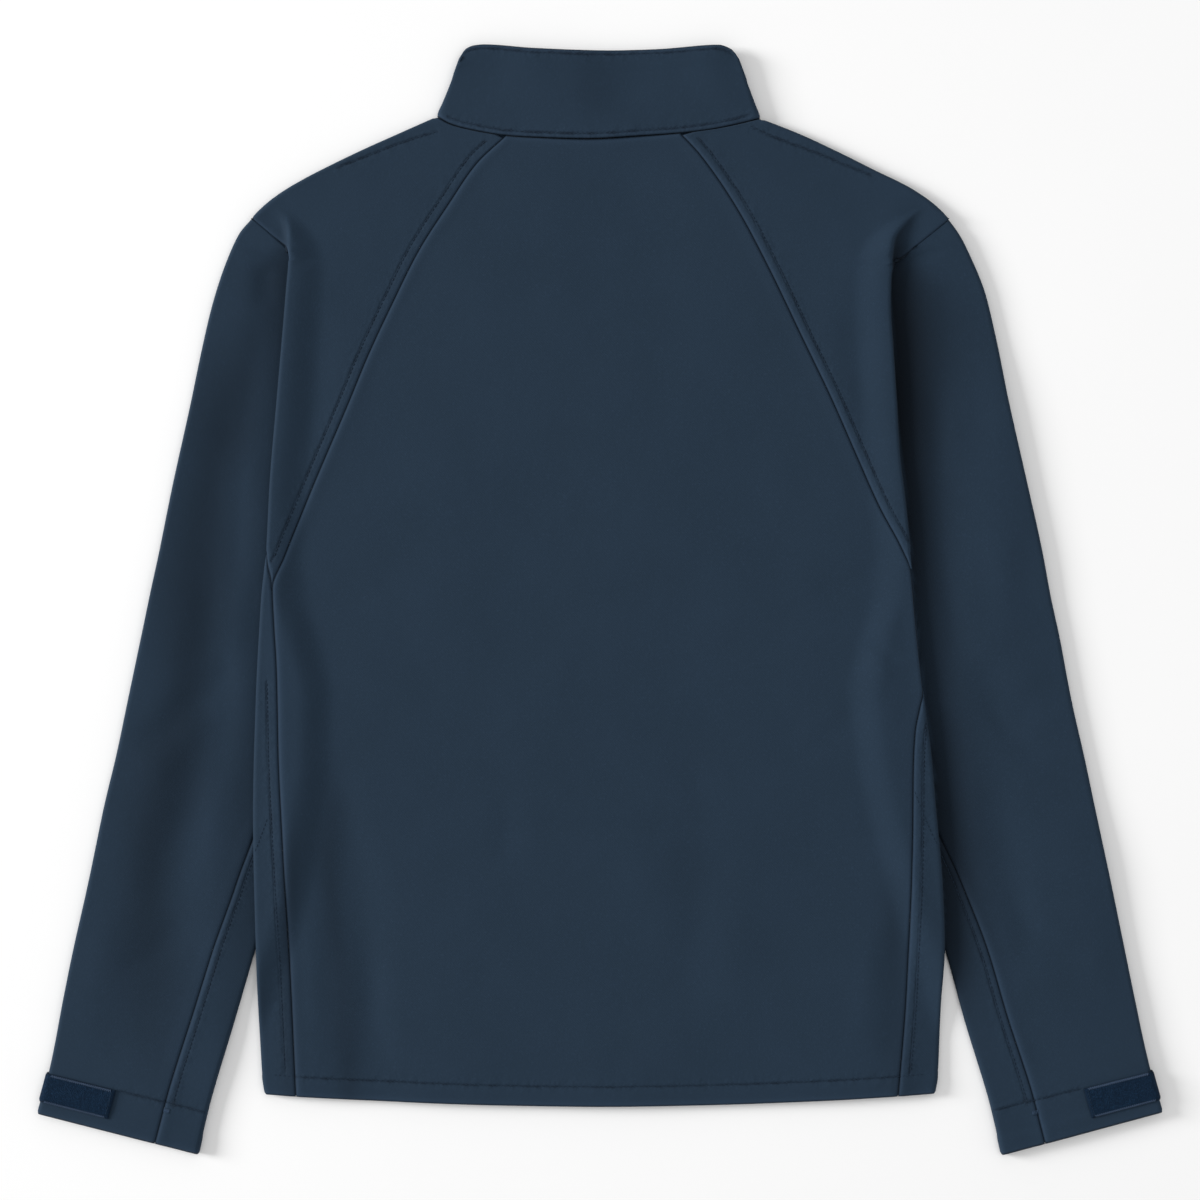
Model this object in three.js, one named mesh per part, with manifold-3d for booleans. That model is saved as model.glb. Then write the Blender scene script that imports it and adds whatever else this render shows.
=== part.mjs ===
// Softshell jacket, laid flat on its front with its back up. Millimetres, +X across the jacket to the
// viewer's right, +Y towards the collar, +Z up. The surface that it lies on is z = 0.
// Every cloth piece is a wall: rows of points on its outer face, and the same rows one cloth further in.

import * as THREE from 'three';
import { mergeVertices } from 'three/addons/utils/BufferGeometryUtils.js';
import Module from 'manifold-3d';

const wasm = await Module();
wasm.setup();

// Driving dimensions
const cloth = 1.5;              // bonded softshell
const collarCloth = 2.6;        // the stand collar is doubled
const seamGap = 0.3;
const seamInset = 0.2;          // each piece stops this far from the seam line
const bodyHeight = 6.7;         // front and back together, in the middle of the body
const foldHeight = 5.4;         // the same at a side fold
const sleeveStack = 5.6;        // height that a sleeve takes up under the body's edge
const sleeveRamp = 26;          // how far inwards the body takes to come down from it
const sleeveUnderBody = 4.9;    // top of the sleeve where the body covers it
const sleeveHeight = 6.4;       // top of the sleeve where it is free
const sleeveFold = 2.5;         // outer radius of a sleeve's folds
const shoulderSeamHeight = 3.2;
const frontNeckLow = 305;       // lowest point of the front neck seam
const frontCollarTop = 372;     // top edge of the collar at the centre front
const zipHalfOpening = 5.2;     // from the centre to the cloth beside the zip
const zipRise = 2.6;            // the fronts rise beside the zip, over its slider and pull
const collarZipRise = 1.7;
const zipRiseWidth = 22;
const cuffRise = 1.8;           // the cuff rises over its tab
const patchThickness = 1.2;

// The body's outline and seams, as distances from the centre line: edge is the shoulder line, then the
// sleeve cap seam, then the armhole fold, then the side fold.
const edges = {
  left: [
    { y: 358, x: 121 }, { y: 346.5, x: 147 }, { y: 330.5, x: 182.5 }, { y: 312, x: 219.5 },
    { y: 302, x: 236.5 }, { y: 292.5, x: 249 }, { y: 285, x: 256.5 }, { y: 282.5, x: 258 },
    { y: 281, x: 256.2 }, { y: 270.5, x: 244 }, { y: 260, x: 232 }, { y: 250, x: 230.3 },
    { y: 235, x: 231.5 }, { y: 193, x: 235 }, { y: 147.5, x: 239 }, { y: 88.5, x: 244 },
    { y: 39, x: 246.5 }, { y: -1, x: 250.5 }, { y: -74.5, x: 254.5 }, { y: -159.5, x: 256.5 },
    { y: -255.5, x: 254.5 }, { y: -349.5, x: 250.5 }, { y: -366.5, x: 248 },
  ],
  right: [
    { y: 356.5, x: 119 }, { y: 346, x: 146 }, { y: 332, x: 176.5 }, { y: 319.5, x: 201.5 },
    { y: 304, x: 232.5 }, { y: 291, x: 250.5 }, { y: 284, x: 257 }, { y: 281.6, x: 258.5 },
    { y: 280.2, x: 256.6 }, { y: 271.5, x: 246 },
    { y: 260.3, x: 232 }, { y: 249, x: 218 }, { y: 240, x: 215.5 }, { y: 221.5, x: 215 },
    { y: 185.5, x: 217 }, { y: 147.5, x: 219.5 }, { y: 107.5, x: 222 }, { y: 73.5, x: 226 },
    { y: 27, x: 230.5 }, { y: -29, x: 235 }, { y: -74.5, x: 240 }, { y: -113, x: 245 },
    { y: -153.5, x: 248.5 }, { y: -210.5, x: 253.5 }, { y: -255, x: 255 }, { y: -296.5, x: 252.5 },
    { y: -350, x: 250.5 }, { y: -366.5, x: 248 },
  ],
};

// The back seam: the raglan line from the neck to the armpit, then the side panel's seam to the hem.
const backSeams = {
  left: [
    { y: 344, x: 69.2 }, { y: 323, x: 91.5 }, { y: 292.5, x: 112.5 }, { y: 258, x: 134.5 },
    { y: 218, x: 154.5 }, { y: 181.5, x: 171.5 }, { y: 147.5, x: 185.5 }, { y: 78, x: 215 },
    { y: 31.5, x: 233.5 }, { y: 8, x: 242 }, { y: -15, x: 241 }, { y: -50.5, x: 239 },
    { y: -116.5, x: 237.5 }, { y: -173.5, x: 234.8 }, { y: -235.5, x: 231.4 }, { y: -296.5, x: 228.3 },
    { y: -366.5, x: 225 },
  ],
  right: [
    { y: 345.6, x: 59.1 }, { y: 329.5, x: 74 }, { y: 289.5, x: 101.5 }, { y: 247.5, x: 124 },
    { y: 195.5, x: 149 }, { y: 147.5, x: 172 }, { y: 107.5, x: 189.5 }, { y: 67, x: 207.5 },
    { y: 37.5, x: 223 }, { y: 19, x: 230.5 }, { y: -30, x: 234.8 }, { y: -67, x: 238.8 },
    { y: -79, x: 236.3 }, { y: -98, x: 232.7 }, { y: -124, x: 231.3 }, { y: -173.5, x: 230.8 },
    { y: -230, x: 229.3 }, { y: -296.5, x: 226.5 }, { y: -366.5, x: 220.5 },
  ],
};

// At the armpit: the side panel's top, the shoulder panel's lowest tip, and on the left the level where
// the side panel's seam, first against the shoulder panel, takes over the back seam.
const armpits = {
  left: { panelTop: 36, merge: 8, tip: 11 },
  right: { panelTop: 14, tip: 23 },
};
const armpitSeamReach = 7;

// How the body's edge lies by level: how far the sleeve reaches in under it, how far its round reaches
// across, how far the shoulder panel is turned under at the armhole fold, and how far the side panel
// reaches in underneath.
const tucks = [
  { y: 300, x: -30 }, { y: 262, x: -12 }, { y: 245, x: 3 }, { y: 39, x: 3 }, { y: 8, x: 6 },
  { y: -30, x: 20 }, { y: -74, x: 32 }, { y: -116, x: 32 }, { y: -152, x: 28 }, { y: -210, x: 18 },
  { y: -256, x: 4 }, { y: -298, x: -12 }, { y: -345, x: -32 }, { y: -367, x: -40 },
];
const edgeRounds = [
  { y: 358, x: 5 }, { y: 290, x: 6 }, { y: 280, x: 0.6 }, { y: 262, x: 0.6 }, { y: 246, x: 2.7 },
  { y: -367, x: 2.7 },
];
const turnedUnder = [
  { y: 252, x: 0 }, { y: 238, x: 2.5 }, { y: 100, x: 6 }, { y: 62, x: 4 }, { y: 36, x: 0 },
];
const sideUnderneath = [
  { y: 39, x: 0.6 }, { y: 0, x: 4 }, { y: -50, x: 13 }, { y: -150, x: 20 }, { y: -367, x: 26 },
];

// The neck and collar, and the hem, across the jacket.
const neckSeam = [
  { x: -121, y: 358 }, { x: -110, y: 352 }, { x: -95, y: 348 }, { x: -71.5, y: 344 },
  { x: -53, y: 342.6 }, { x: -10, y: 341.2 }, { x: 33, y: 343.6 }, { x: 59.5, y: 345.6 },
  { x: 80, y: 348 }, { x: 98.5, y: 351.5 }, { x: 119, y: 356.5 },
];
const collarTop = [
  { x: -104.5, y: 397 }, { x: -103, y: 403 }, { x: -98, y: 408.5 }, { x: -85.5, y: 411 },
  { x: -48, y: 408 }, { x: 4, y: 406.5 }, { x: 41.5, y: 407.5 }, { x: 87.5, y: 410.5 },
  { x: 96, y: 408 }, { x: 101, y: 403 }, { x: 104, y: 397 },
];
const hemLine = [
  { x: -248, y: -366 }, { x: -224.5, y: -367.5 }, { x: -168.5, y: -370.5 }, { x: -74, y: -374 },
  { x: 0, y: -375 }, { x: 74, y: -374 }, { x: 169, y: -370.5 }, { x: 226, y: -367 }, { x: 248, y: -365.5 },
];
const neckEnds = { left: 121, right: 119 };
const collarEnds = { left: 104.5, right: 104 };
const neckEndY = { left: 358, right: 356.5 };

// The sleeves: a row for each fold line across, from its outer point (ox, oy) to its inner one (ix, iy),
// and how far from the inner fold the back sleeve seam runs. The rows above the armpit end inside the
// armhole and have no inner fold.
const sleeveRows = {
  left: [
    { ox: 258.4, oy: 282.1, ix: 222.3, iy: 251.1 },
    { ox: 266, oy: 272.5, ix: 219, iy: 233 },
    { ox: 277.5, oy: 249, ix: 217.5, iy: 208.5 },
    { ox: 287.5, oy: 218, ix: 218.5, iy: 183 },
    { ox: 296, oy: 181.5, ix: 220, iy: 153.5 },
    { ox: 303, oy: 147.5, ix: 222, iy: 124 },
    { ox: 317, oy: 84, ix: 227, iy: 66 },
    { ox: 327, oy: 34.5, ix: 235, iy: 22 },
    { ox: 333, oy: 7, ix: 244.5, iy: -0.5, seam: 0.8 },
    { ox: 338.5, oy: -19.5, ix: 234, iy: -24, seam: 6 },
    { ox: 350, oy: -74.5, ix: 222.5, iy: -74.5, seam: 13 },
    { ox: 358.5, oy: -115, ix: 224.5, iy: -116.5, seam: 16 },
    { ox: 367, oy: -150.5, ix: 229, iy: -150.5, seam: 19 },
    { ox: 379.5, oy: -210.5, ix: 241.5, iy: -210.5, seam: 28 },
    { ox: 390.5, oy: -259.5, ix: 257, iy: -264.5, seam: 31 },
    { ox: 398, oy: -296.5, ix: 270, iy: -309.5, seam: 31.5 },
    { ox: 407.5, oy: -346.5, ix: 289.5, iy: -375.5, seam: 32 },
    { ox: 416.5, oy: -380, ix: 297.5, iy: -410.5, seam: 33 },
  ],
  right: [
    { ox: 258.9, oy: 281.1, ix: 210.8, iy: 242.9 },
    { ox: 266.5, oy: 270.5, ix: 205, iy: 226 },
    { ox: 275.5, oy: 252.5, ix: 203, iy: 205.5 },
    { ox: 285, oy: 229, ix: 203, iy: 184.5 },
    { ox: 294, oy: 192, ix: 204, iy: 153.5 },
    { ox: 303, oy: 147.5, ix: 206, iy: 118 },
    { ox: 315.5, oy: 92, ix: 211, iy: 70 },
    { ox: 327.5, oy: 38, ix: 219, iy: 25.5 },
    { ox: 334.5, oy: 0.5, ix: 226.5, iy: -5.5, seam: 0.8 },
    { ox: 340.5, oy: -27, ix: 217.5, iy: -30, seam: 6 },
    { ox: 349.5, oy: -74.5, ix: 209.5, iy: -74.5, seam: 13 },
    { ox: 359, oy: -116.5, ix: 213.5, iy: -116.5, seam: 17 },
    { ox: 366.5, oy: -152, ix: 221.5, iy: -152, seam: 20 },
    { ox: 379, oy: -210.5, ix: 240, iy: -210.5, seam: 28 },
    { ox: 388.5, oy: -257, ix: 256.5, iy: -262, seam: 31 },
    { ox: 397, oy: -298.5, ix: 270, iy: -311, seam: 31.5 },
    { ox: 407, oy: -345, ix: 289, iy: -374, seam: 32 },
    { ox: 416.5, oy: -379, ix: 297.5, iy: -411, seam: 33 },
  ],
};
const armpitRow = 8;
const lastRow = 17;

// The loop strip on the cuff and its tab: along the sleeve between the last two rows, and in from the
// outer fold, where a negative distance lies underneath.
const patch = { from: 0.09, to: 0.72, in: 52, under: -9 };
const tab = { from: 0.06, to: 0.68, near: 11, far: 64 };

const zip = {
  tooth: 3.2, toothLow: 3.0, tapeHalf: 12, tapeLow: 4.4, tapeHigh: 4.9, top: 365, bottom: -373,
};
const slider = {
  half: 4.5, low: 2.0, high: 5.8, wing: 0.7, back: 360, front: 370, post: 1.2, postLength: 3,
  toothRoom: 0.4,
};
const lug = { half: 0.9, length: 3.2, low: 0.1, holeRadius: 0.62, y: 365, z: 1.05 };
const pull = {
  half: 2.6, length: 28, thickness: 0.8, barRadius: 0.4, window: 1.5, windowLength: 4, past: 0.2,
};

// Curves and small helpers

// Value of a table at a level, on a curve through its rows that never overshoots them.
function lookUp(rows, at, key = 'y', value = 'x') {
  const rising = rows[0][key] < rows[rows.length - 1][key];
  const table = rising ? rows : [...rows].reverse();
  const last = table.length - 1;
  if (at <= table[0][key]) return table[0][value];
  if (at >= table[last][key]) return table[last][value];
  let i = 0;
  while (at > table[i + 1][key]) i += 1;
  const slope = (k) => (table[k + 1][value] - table[k][value]) / (table[k + 1][key] - table[k][key]);
  const tangent = (k) => {
    if (k === 0) return slope(0);
    if (k === last) return slope(last - 1);
    const before = slope(k - 1);
    const after = slope(k);
    return before * after <= 0 ? 0 : (2 * before * after) / (before + after);
  };
  const span = table[i + 1][key] - table[i][key];
  const t = (at - table[i][key]) / span;
  const h00 = (1 + 2 * t) * (1 - t) ** 2;
  const h10 = t * (1 - t) ** 2;
  const h01 = t * t * (3 - 2 * t);
  const h11 = t * t * (t - 1);
  const ends = h00 * table[i][value] + h01 * table[i + 1][value];
  return ends + span * (h10 * tangent(i) + h11 * tangent(i + 1));
}

// The same for a line that runs beside the table's curve, at a distance square to it.
function beside(rows, at, distance) {
  const slope = (lookUp(rows, at + 1) - lookUp(rows, at - 1)) / 2;
  return lookUp(rows, at) + distance * Math.hypot(1, slope);
}

function smooth(from, to, at) {
  const t = Math.min(Math.max((at - from) / (to - from), 0), 1);
  return t * t * (3 - 2 * t);
}

const mix = (a, b, t) => a + (b - a) * t;
const within = (range, at) => smooth(range.from, range.to, at);
const sideOf = (x) => (x < 0 ? 'left' : 'right');
const signOf = (side) => (side === 'left' ? -1 : 1);
const edgeAt = (side, y) => lookUp(edges[side], y);
const steps = (count, from, to, ease = (t) => t) =>
  Array.from({ length: count + 1 }, (unused, i) => mix(from, to, ease(i / count)));

// Places across a fold, from one distance in from it to another, negative underneath: close together on
// the fold itself and far apart away from it.
function acrossFold(from, to, count, radius = 2.7) {
  const quarter = (radius * Math.PI) / 2;
  const near = 6;
  const farShare = 0.1;
  const spread = (inward) => {
    const away = Math.abs(inward);
    const arc = away < radius ? radius * Math.acos(1 - away / radius) : quarter + away - radius;
    return Math.sign(inward) * (arc < near ? arc : near + (arc - near) * farShare);
  };
  const gather = (place) => {
    const away = Math.abs(place);
    const arc = away < near ? away : near + (away - near) / farShare;
    const inward = arc < quarter ? radius * (1 - Math.cos(arc / radius)) : arc - quarter + radius;
    return Math.sign(place) * inward;
  };
  return steps(count, spread(from), spread(to)).map(gather);
}

// A round of radius 1 that starts at an edge: 0 on the edge, 1 a radius in.
function roundness(inward, radius) {
  const t = Math.min(Math.max(inward / radius, 0), 1);
  return Math.sqrt(1 - (1 - t) ** 2);
}

// The body's heights

const foldSwell = { from: 3, to: 30 };            // how far in the body swells from its fold
const capLevels = { from: 246, to: 262 };         // the armhole fold gives way to the sleeve cap seam
const shoulderLevels = { from: 281, to: 290 };    // and that to the shoulder seam
const frontShoulderLevels = { from: 284, to: 292 };
const armpitLevels = { from: -4, to: 32 };        // below them the front lies over the sleeve
const frontBelowSeam = 0.9;                       // the front's edge under the shoulder seam's mid line

function sleeveLift(inward, y) {
  const reach = lookUp(tucks, y);
  return sleeveStack * (1 - smooth(reach, reach + sleeveRamp, inward));
}

// Largest folds of the back: long soft bands that run up from the hem.
const backFolds = [
  { x: -186, low: -350, high: -120, width: 26, depth: -0.9 },
  { x: -150, low: -350, high: -160, width: 24, depth: 0.6 },
  { x: 78, low: -330, high: -90, width: 30, depth: -0.6 },
  { x: 205, low: -340, high: -190, width: 22, depth: -0.6 },
];
const foldFade = { before: 20, after: 30, top: 60 };
const foldFree = { from: 8, to: 40 };             // no such fold right beside the body's edge

function backFold(x, y) {
  return backFolds.reduce((sum, fold) => {
    const across = Math.exp(-(((x - fold.x) / fold.width) ** 2));
    const begins = smooth(fold.low - foldFade.before, fold.low + foldFade.after, y);
    const ends = 1 - smooth(fold.high - foldFade.top, fold.high, y);
    return sum + fold.depth * across * begins * ends;
  }, 0);
}

function backTop(x, y) {
  const inward = edgeAt(sideOf(x), y) - Math.abs(x);
  const thickness = mix(foldHeight, bodyHeight, Math.max(within(foldSwell, inward), within(capLevels, y)));
  return sleeveLift(inward, y) + thickness + backFold(x, y) * within(foldFree, inward);
}

function edgeMid(side, y) {
  const fold = sleeveLift(0, y) + foldHeight / 2;
  const cap = mix(fold, backTop(signOf(side) * edgeAt(side, y), y), within(capLevels, y));
  return mix(cap, shoulderSeamHeight, within(shoulderLevels, y));
}

// A point on the body's back, or, with a negative inward distance, on what is turned under at its edge.
function backPoint(side, y, inward) {
  const sign = signOf(side);
  const x = sign * (edgeAt(side, y) - Math.abs(inward));
  const mid = edgeMid(side, y);
  const round = roundness(Math.abs(inward), lookUp(edgeRounds, y));
  const flat = inward >= 0 ? backTop(x, y) : sleeveLift(Math.abs(inward), y);
  return new THREE.Vector3(x, y, mix(mid, flat, round));
}

function frontUnderside(x, y) {
  const side = sideOf(x);
  const inward = edgeAt(side, y) - Math.abs(x);
  const belowArmpit = 1 - within(armpitLevels, y);
  const rise = zipRise * (1 - smooth(zipHalfOpening, zipRiseWidth, Math.abs(x)));
  const flat = Math.max(sleeveLift(inward, y) * belowArmpit, rise);
  const shoulder = within(frontShoulderLevels, y);
  const round = mix(1, roundness(inward, lookUp(edgeRounds, y)), shoulder);
  return mix(shoulderSeamHeight - frontBelowSeam, flat, round);
}

// Walls

// Direction of a row at one of its points. At its two ends the row keeps turning as it did before them.
function rowDirection(row, i) {
  const step = (k) => new THREE.Vector3().subVectors(row[k + 1], row[k]).setY(0).normalize();
  const onward = (end, before) => step(end).multiplyScalar(1.5).addScaledVector(step(before), -0.5);
  const last = row.length - 1;
  if (i === 0) return onward(0, 1).normalize();
  if (i === last) return onward(last - 1, last - 2).normalize();
  return step(i - 1).add(step(i)).normalize();
}

const steep = { from: 0.3, to: 0.6 };

// A closed solid between rows of outer points and the same rows moved in: straight down or up on a
// gentle slope, so that seams stay upright, and along the row's normal on a fold.
function wall(rows, handed, thickness = cloth, offset = 0) {
  const across = rows[0].length;
  const outer = [];
  const inner = [];
  rows.forEach((row) => row.forEach((point, i) => {
    const along = rowDirection(row, i);
    const lean = within(steep, Math.abs(along.z));
    const normal = new THREE.Vector3(-handed * along.z * lean, 0, handed * along.x).normalize();
    const depth = offset - thickness;
    outer.push(point.x + normal.x * offset, point.y, Math.max(point.z + normal.z * offset, 0));
    inner.push(point.x + normal.x * depth, point.y, Math.max(point.z + normal.z * depth, 0));
  }));
  return slab(outer, inner, rows.length, across);
}

// Two grids of points joined round their border.
function slab(outer, inner, along, across) {
  const total = along * across;
  const index = [];
  const quad = (a, b, c, d) => index.push(a, b, c, a, c, d);
  for (let r = 0; r < along - 1; r += 1) {
    for (let c = 0; c < across - 1; c += 1) {
      const at = r * across + c;
      quad(at, at + 1, at + across + 1, at + across);
      quad(total + at, total + at + across, total + at + across + 1, total + at + 1);
    }
    const left = r * across;
    const right = left + across - 1;
    quad(left, left + across, total + left + across, total + left);
    quad(right, total + right, total + right + across, right + across);
  }
  for (let c = 0; c < across - 1; c += 1) {
    const last = (along - 1) * across + c;
    quad(c, total + c, total + c + 1, c + 1);
    quad(last, last + 1, total + last + 1, total + last);
  }
  const geometry = new THREE.BufferGeometry();
  geometry.setAttribute('position', new THREE.Float32BufferAttribute([...outer, ...inner], 3));
  geometry.setIndex(signedVolume([...outer, ...inner], index) < 0 ? index.reverse() : index);
  geometry.computeVertexNormals();
  return geometry;
}

function signedVolume(positions, index) {
  const corner = (k) => new THREE.Vector3().fromArray(positions, 3 * index[k]);
  let volume = 0;
  for (let k = 0; k < index.length; k += 3) {
    volume += corner(k).dot(corner(k + 1).cross(corner(k + 2)));
  }
  return volume;
}

// Pieces

const armholePlaces = steps(12, 0, armpitRow);
const tubePlaces = steps(11, armpitRow, lastRow);
const sideLevel = -120;         // below it the rows of the side panels and fronts lie further apart
const sideSpacing = { above: 12, below: 28 };
const capCorner = 12;           // the shoulder's corner lies within this of the armhole's top
const tiny = 1e-3;
const hemCurve = 130;           // how far up from the hem the rows bend with it
const shoulderTopDrop = 1.2;    // the shoulder panel ends this far under the end of the neck seam
const leastWidth = 0.5;         // of a piece where it runs out in a point

const levels = (from, to, spacing) => steps(Math.ceil(Math.abs(from - to) / spacing), from, to);

// The hem curves down at the middle, so the lowest rows bend with it.
function bendToHem(x, y) {
  const flatHem = hemLine[0].y;
  const share = 1 - smooth(flatHem, flatHem + hemCurve, y);
  return y + (lookUp(hemLine, x, 'x', 'y') - flatHem) * share;
}

function backCentre() {
  const low = lookUp(hemLine, 0, 'x', 'y');
  const high = lookUp(neckSeam, 0, 'x', 'y');
  const ys = [
    ...levels(low, -150, 30), ...levels(-150, 50, 15).slice(1), ...levels(50, 315, 26).slice(1),
    ...levels(315, high, 9).slice(1),
  ];
  const rows = ys.map((row) => {
    const v = (row - low) / (high - low);
    const level = (x) => mix(lookUp(hemLine, x, 'x', 'y'), lookUp(neckSeam, x, 'x', 'y') - seamInset, v);
    const half = (side) => {
      const sign = signOf(side);
      let end = 100;
      for (let i = 0; i < 12; i += 1) end = beside(backSeams[side], level(sign * end), -seamInset);
      const edge = edgeAt(side, level(sign * end));
      end = Math.min(end, edge - 2 * seamGap);
      return acrossFold(edge, edge - end, 10).map((inward) => {
        const x = Math.max(edge - inward, 0);
        const y = level(sign * x);
        return backPoint(side, y, edgeAt(side, y) - x);
      });
    };
    return [...half('left').reverse(), ...half('right').slice(1)];
  });
  return wall(rows, 1);
}

// How far out the neck seam reaches at a level.
function neckReach(side, y) {
  let [near, far] = [0, neckEnds[side]];
  for (let i = 0; i < 30; i += 1) {
    const middle = (near + far) / 2;
    if (lookUp(neckSeam, signOf(side) * middle, 'x', 'y') < y) near = middle;
    else far = middle;
  }
  return far;
}

function backShoulder(side) {
  const armpit = armpits[side];
  const top = neckEndY[side] - shoulderTopDrop;
  const corner = backSeams[side][0].y;
  const ys = [
    ...levels(top, corner, 4.5), ...levels(corner, 320, 6).slice(1), ...levels(320, 230, 10).slice(1),
    ...levels(230, 60, 24).slice(1), ...levels(60, armpit.tip, 8).slice(1),
  ];
  const start = (y) => Math.max(neckReach(side, y + 2 * seamInset), beside(backSeams[side], y, seamInset));
  const rows = ys.map((y) => {
    const innerEnd = edgeAt(side, y) - start(y);
    const seam = y < armpit.panelTop ? sideSeam(side, y) + seamInset : -lookUp(turnedUnder, y);
    const outerEnd = Math.min(seam, innerEnd - leastWidth);
    return acrossFold(innerEnd, outerEnd, 11).map((inward) => backPoint(side, y, inward));
  });
  return wall(rows, signOf(side));
}

// Inward distance of the side panel's seam against the back, negative where it is underneath.
function sideSeam(side, y) {
  const { panelTop, merge } = armpits[side];
  if (y > merge) return armpitSeamReach * smooth(panelTop, merge, y);
  return Math.max(edgeAt(side, y) - lookUp(backSeams[side], y), 0);
}

function sidePanel(side) {
  const hem = hemLine[0].y;
  const ys = [
    ...levels(armpits[side].panelTop, sideLevel, sideSpacing.above),
    ...levels(sideLevel, hem, sideSpacing.below).slice(1),
  ];
  const rows = ys.map((y) => {
    const across = acrossFold(sideSeam(side, y) - seamInset, -lookUp(sideUnderneath, y), 10);
    return across.map((inward) => {
      const point = backPoint(side, y, inward);
      point.y = bendToHem(point.x, y);
      return point;
    });
  });
  return wall(rows, signOf(side));
}

// The armhole on the front: the inner ends of the sleeve's rows above the armpit, lowest first.
function armhole(side) {
  return armholePlaces.map((at) => sleeveRow(side, at)).map((row) => ({ y: row.iy, x: row.ix })).reverse();
}

// How far out a front reaches: the side panel's edge below the armpit, then the armhole, the sleeve cap
// and the shoulder line.
function frontReach(side, y) {
  const seam = armhole(side);
  const top = seam[seam.length - 1];
  const sideEdge = edgeAt(side, y) - lookUp(sideUnderneath, y);
  if (y < seam[0].y - tiny) return sideEdge - seamInset;
  if (y > top.y) {
    const corner = edges[side].find((row) => row.y < top.y + capCorner);
    const reach = y > corner.y ? edgeAt(side, y) : mix(top.x, corner.x, (y - top.y) / (corner.y - top.y));
    return reach - seamGap;
  }
  const i = seam.findIndex((row) => row.y >= y - tiny);
  return Math.min(seam[i].x - 2 * seamGap, sideEdge - seamInset);
}

function frontNeck(x, side) {
  return mix(frontNeckLow, neckEndY[side], (Math.abs(x) / neckEnds[side]) ** 2);
}

function front(side) {
  const hem = hemLine[0].y;
  const seam = armhole(side).map((row) => row.y);
  const armpit = seam[0];
  const armholeTop = seam[seam.length - 1];
  const ys = [
    ...levels(hem, sideLevel, sideSpacing.below),
    ...levels(sideLevel, armpit - 4, sideSpacing.above).slice(1),
    ...seam,
    ...levels(armholeTop, frontNeckLow, 10).slice(1),
    ...steps(9, 0.12, 0.985).map((part) => mix(frontNeckLow, neckEndY[side], part ** 2) - seamGap),
  ];
  const rows = ys.map((y) => {
    const share = Math.max((y + seamGap - frontNeckLow) / (neckEndY[side] - frontNeckLow), 0);
    const inner = Math.max(zipHalfOpening, neckEnds[side] * Math.sqrt(share));
    const outer = Math.max(frontReach(side, y), inner + leastWidth);
    const risen = Math.min(zipRiseWidth, mix(inner, outer, 0.4));
    const nearZip = steps(2, inner, Math.max(risen, mix(inner, outer, 0.08)));
    const rest = steps(6, nearZip[2], outer, (t) => 1 - (1 - t) ** 1.5);
    return [...nearZip, ...rest.slice(1)].map((distance) => {
      const x = signOf(side) * distance;
      return new THREE.Vector3(x, bendToHem(x, y), frontUnderside(x, y));
    });
  });
  return wall(rows, -signOf(side));
}

// Sleeves

// The sleeve's row at a place along it, counted in rows of its table.
function sleeveRow(side, at) {
  const table = sleeveRows[side].map((row, i) => ({ seam: 0, ...row, at: i }));
  const value = (key) => lookUp(table, at, 'at', key);
  return { ox: value('ox'), oy: value('oy'), ix: value('ix'), iy: value('iy'), seam: value('seam') };
}

// A soft trough along the sleeve, by the share of its width from the outer fold and the row.
const trough = {
  share: 0.42, width: 0.13, depth: 1.3, begins: { from: 3, to: 6 }, ends: { from: 14, to: 16.5 },
};
const sleeveFree = { from: 2, to: 30 };           // how far out from the body it rises to its full height
const sleeveCap = { from: 254, to: 268 };
const cuffLevels = { from: 15.4, to: 15.95 };
const cuffShares = { from: 0.6, to: 0.85 };

function sleeveTrough(share, at) {
  const along = within(trough.begins, at) * (1 - within(trough.ends, at));
  return -trough.depth * along * Math.exp(-(((share - trough.share) / trough.width) ** 2));
}

// A point on the sleeve at a distance in from its outer fold, negative underneath.
function sleevePoint(side, at, inward) {
  const row = sleeveRow(side, at);
  const width = Math.hypot(row.ox - row.ix, row.oy - row.iy);
  const share = Math.abs(inward) / width;
  const x = mix(row.ox, row.ix, share);
  const y = mix(row.oy, row.iy, share);
  const free = within(sleeveFree, x - edgeAt(side, y));
  const top = mix(sleeveUnderBody, sleeveHeight, Math.max(free, within(sleeveCap, y)));
  const fold = sleeveTrough(share, at) * free;
  const underCuff = cuffRise * within(cuffLevels, at) * (1 - within(cuffShares, share));
  const flat = inward >= 0 ? top + fold + underCuff * 0.5 : underCuff;
  const mid = sleeveFold + underCuff * 0.75;
  let round = roundness(Math.abs(inward), sleeveFold);
  if (at >= armpitRow) round = Math.min(round, roundness(width - Math.abs(inward), sleeveFold));
  return new THREE.Vector3(signOf(side) * x, y, mix(mid, flat, round));
}

const seamBeneath = 1.15;       // the lower sleeve seam runs this much further in underneath

const sleeveWidth = (row) => Math.hypot(row.ox - row.ix, row.oy - row.iy);

function sleeveUpper(side) {
  const places = [...armholePlaces, ...tubePlaces.slice(1)];
  const rows = places.map((at) => {
    const row = sleeveRow(side, at);
    const width = sleeveWidth(row);
    const inset = row.seam > 0 ? seamInset : 0;
    const topEnd = width - row.seam - inset;
    const lowEnd = width - row.seam * seamBeneath - inset;
    return acrossFold(topEnd, -lowEnd, 16, sleeveFold).map((inward) => sleevePoint(side, at, inward));
  });
  return wall(rows, signOf(side));
}

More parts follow.
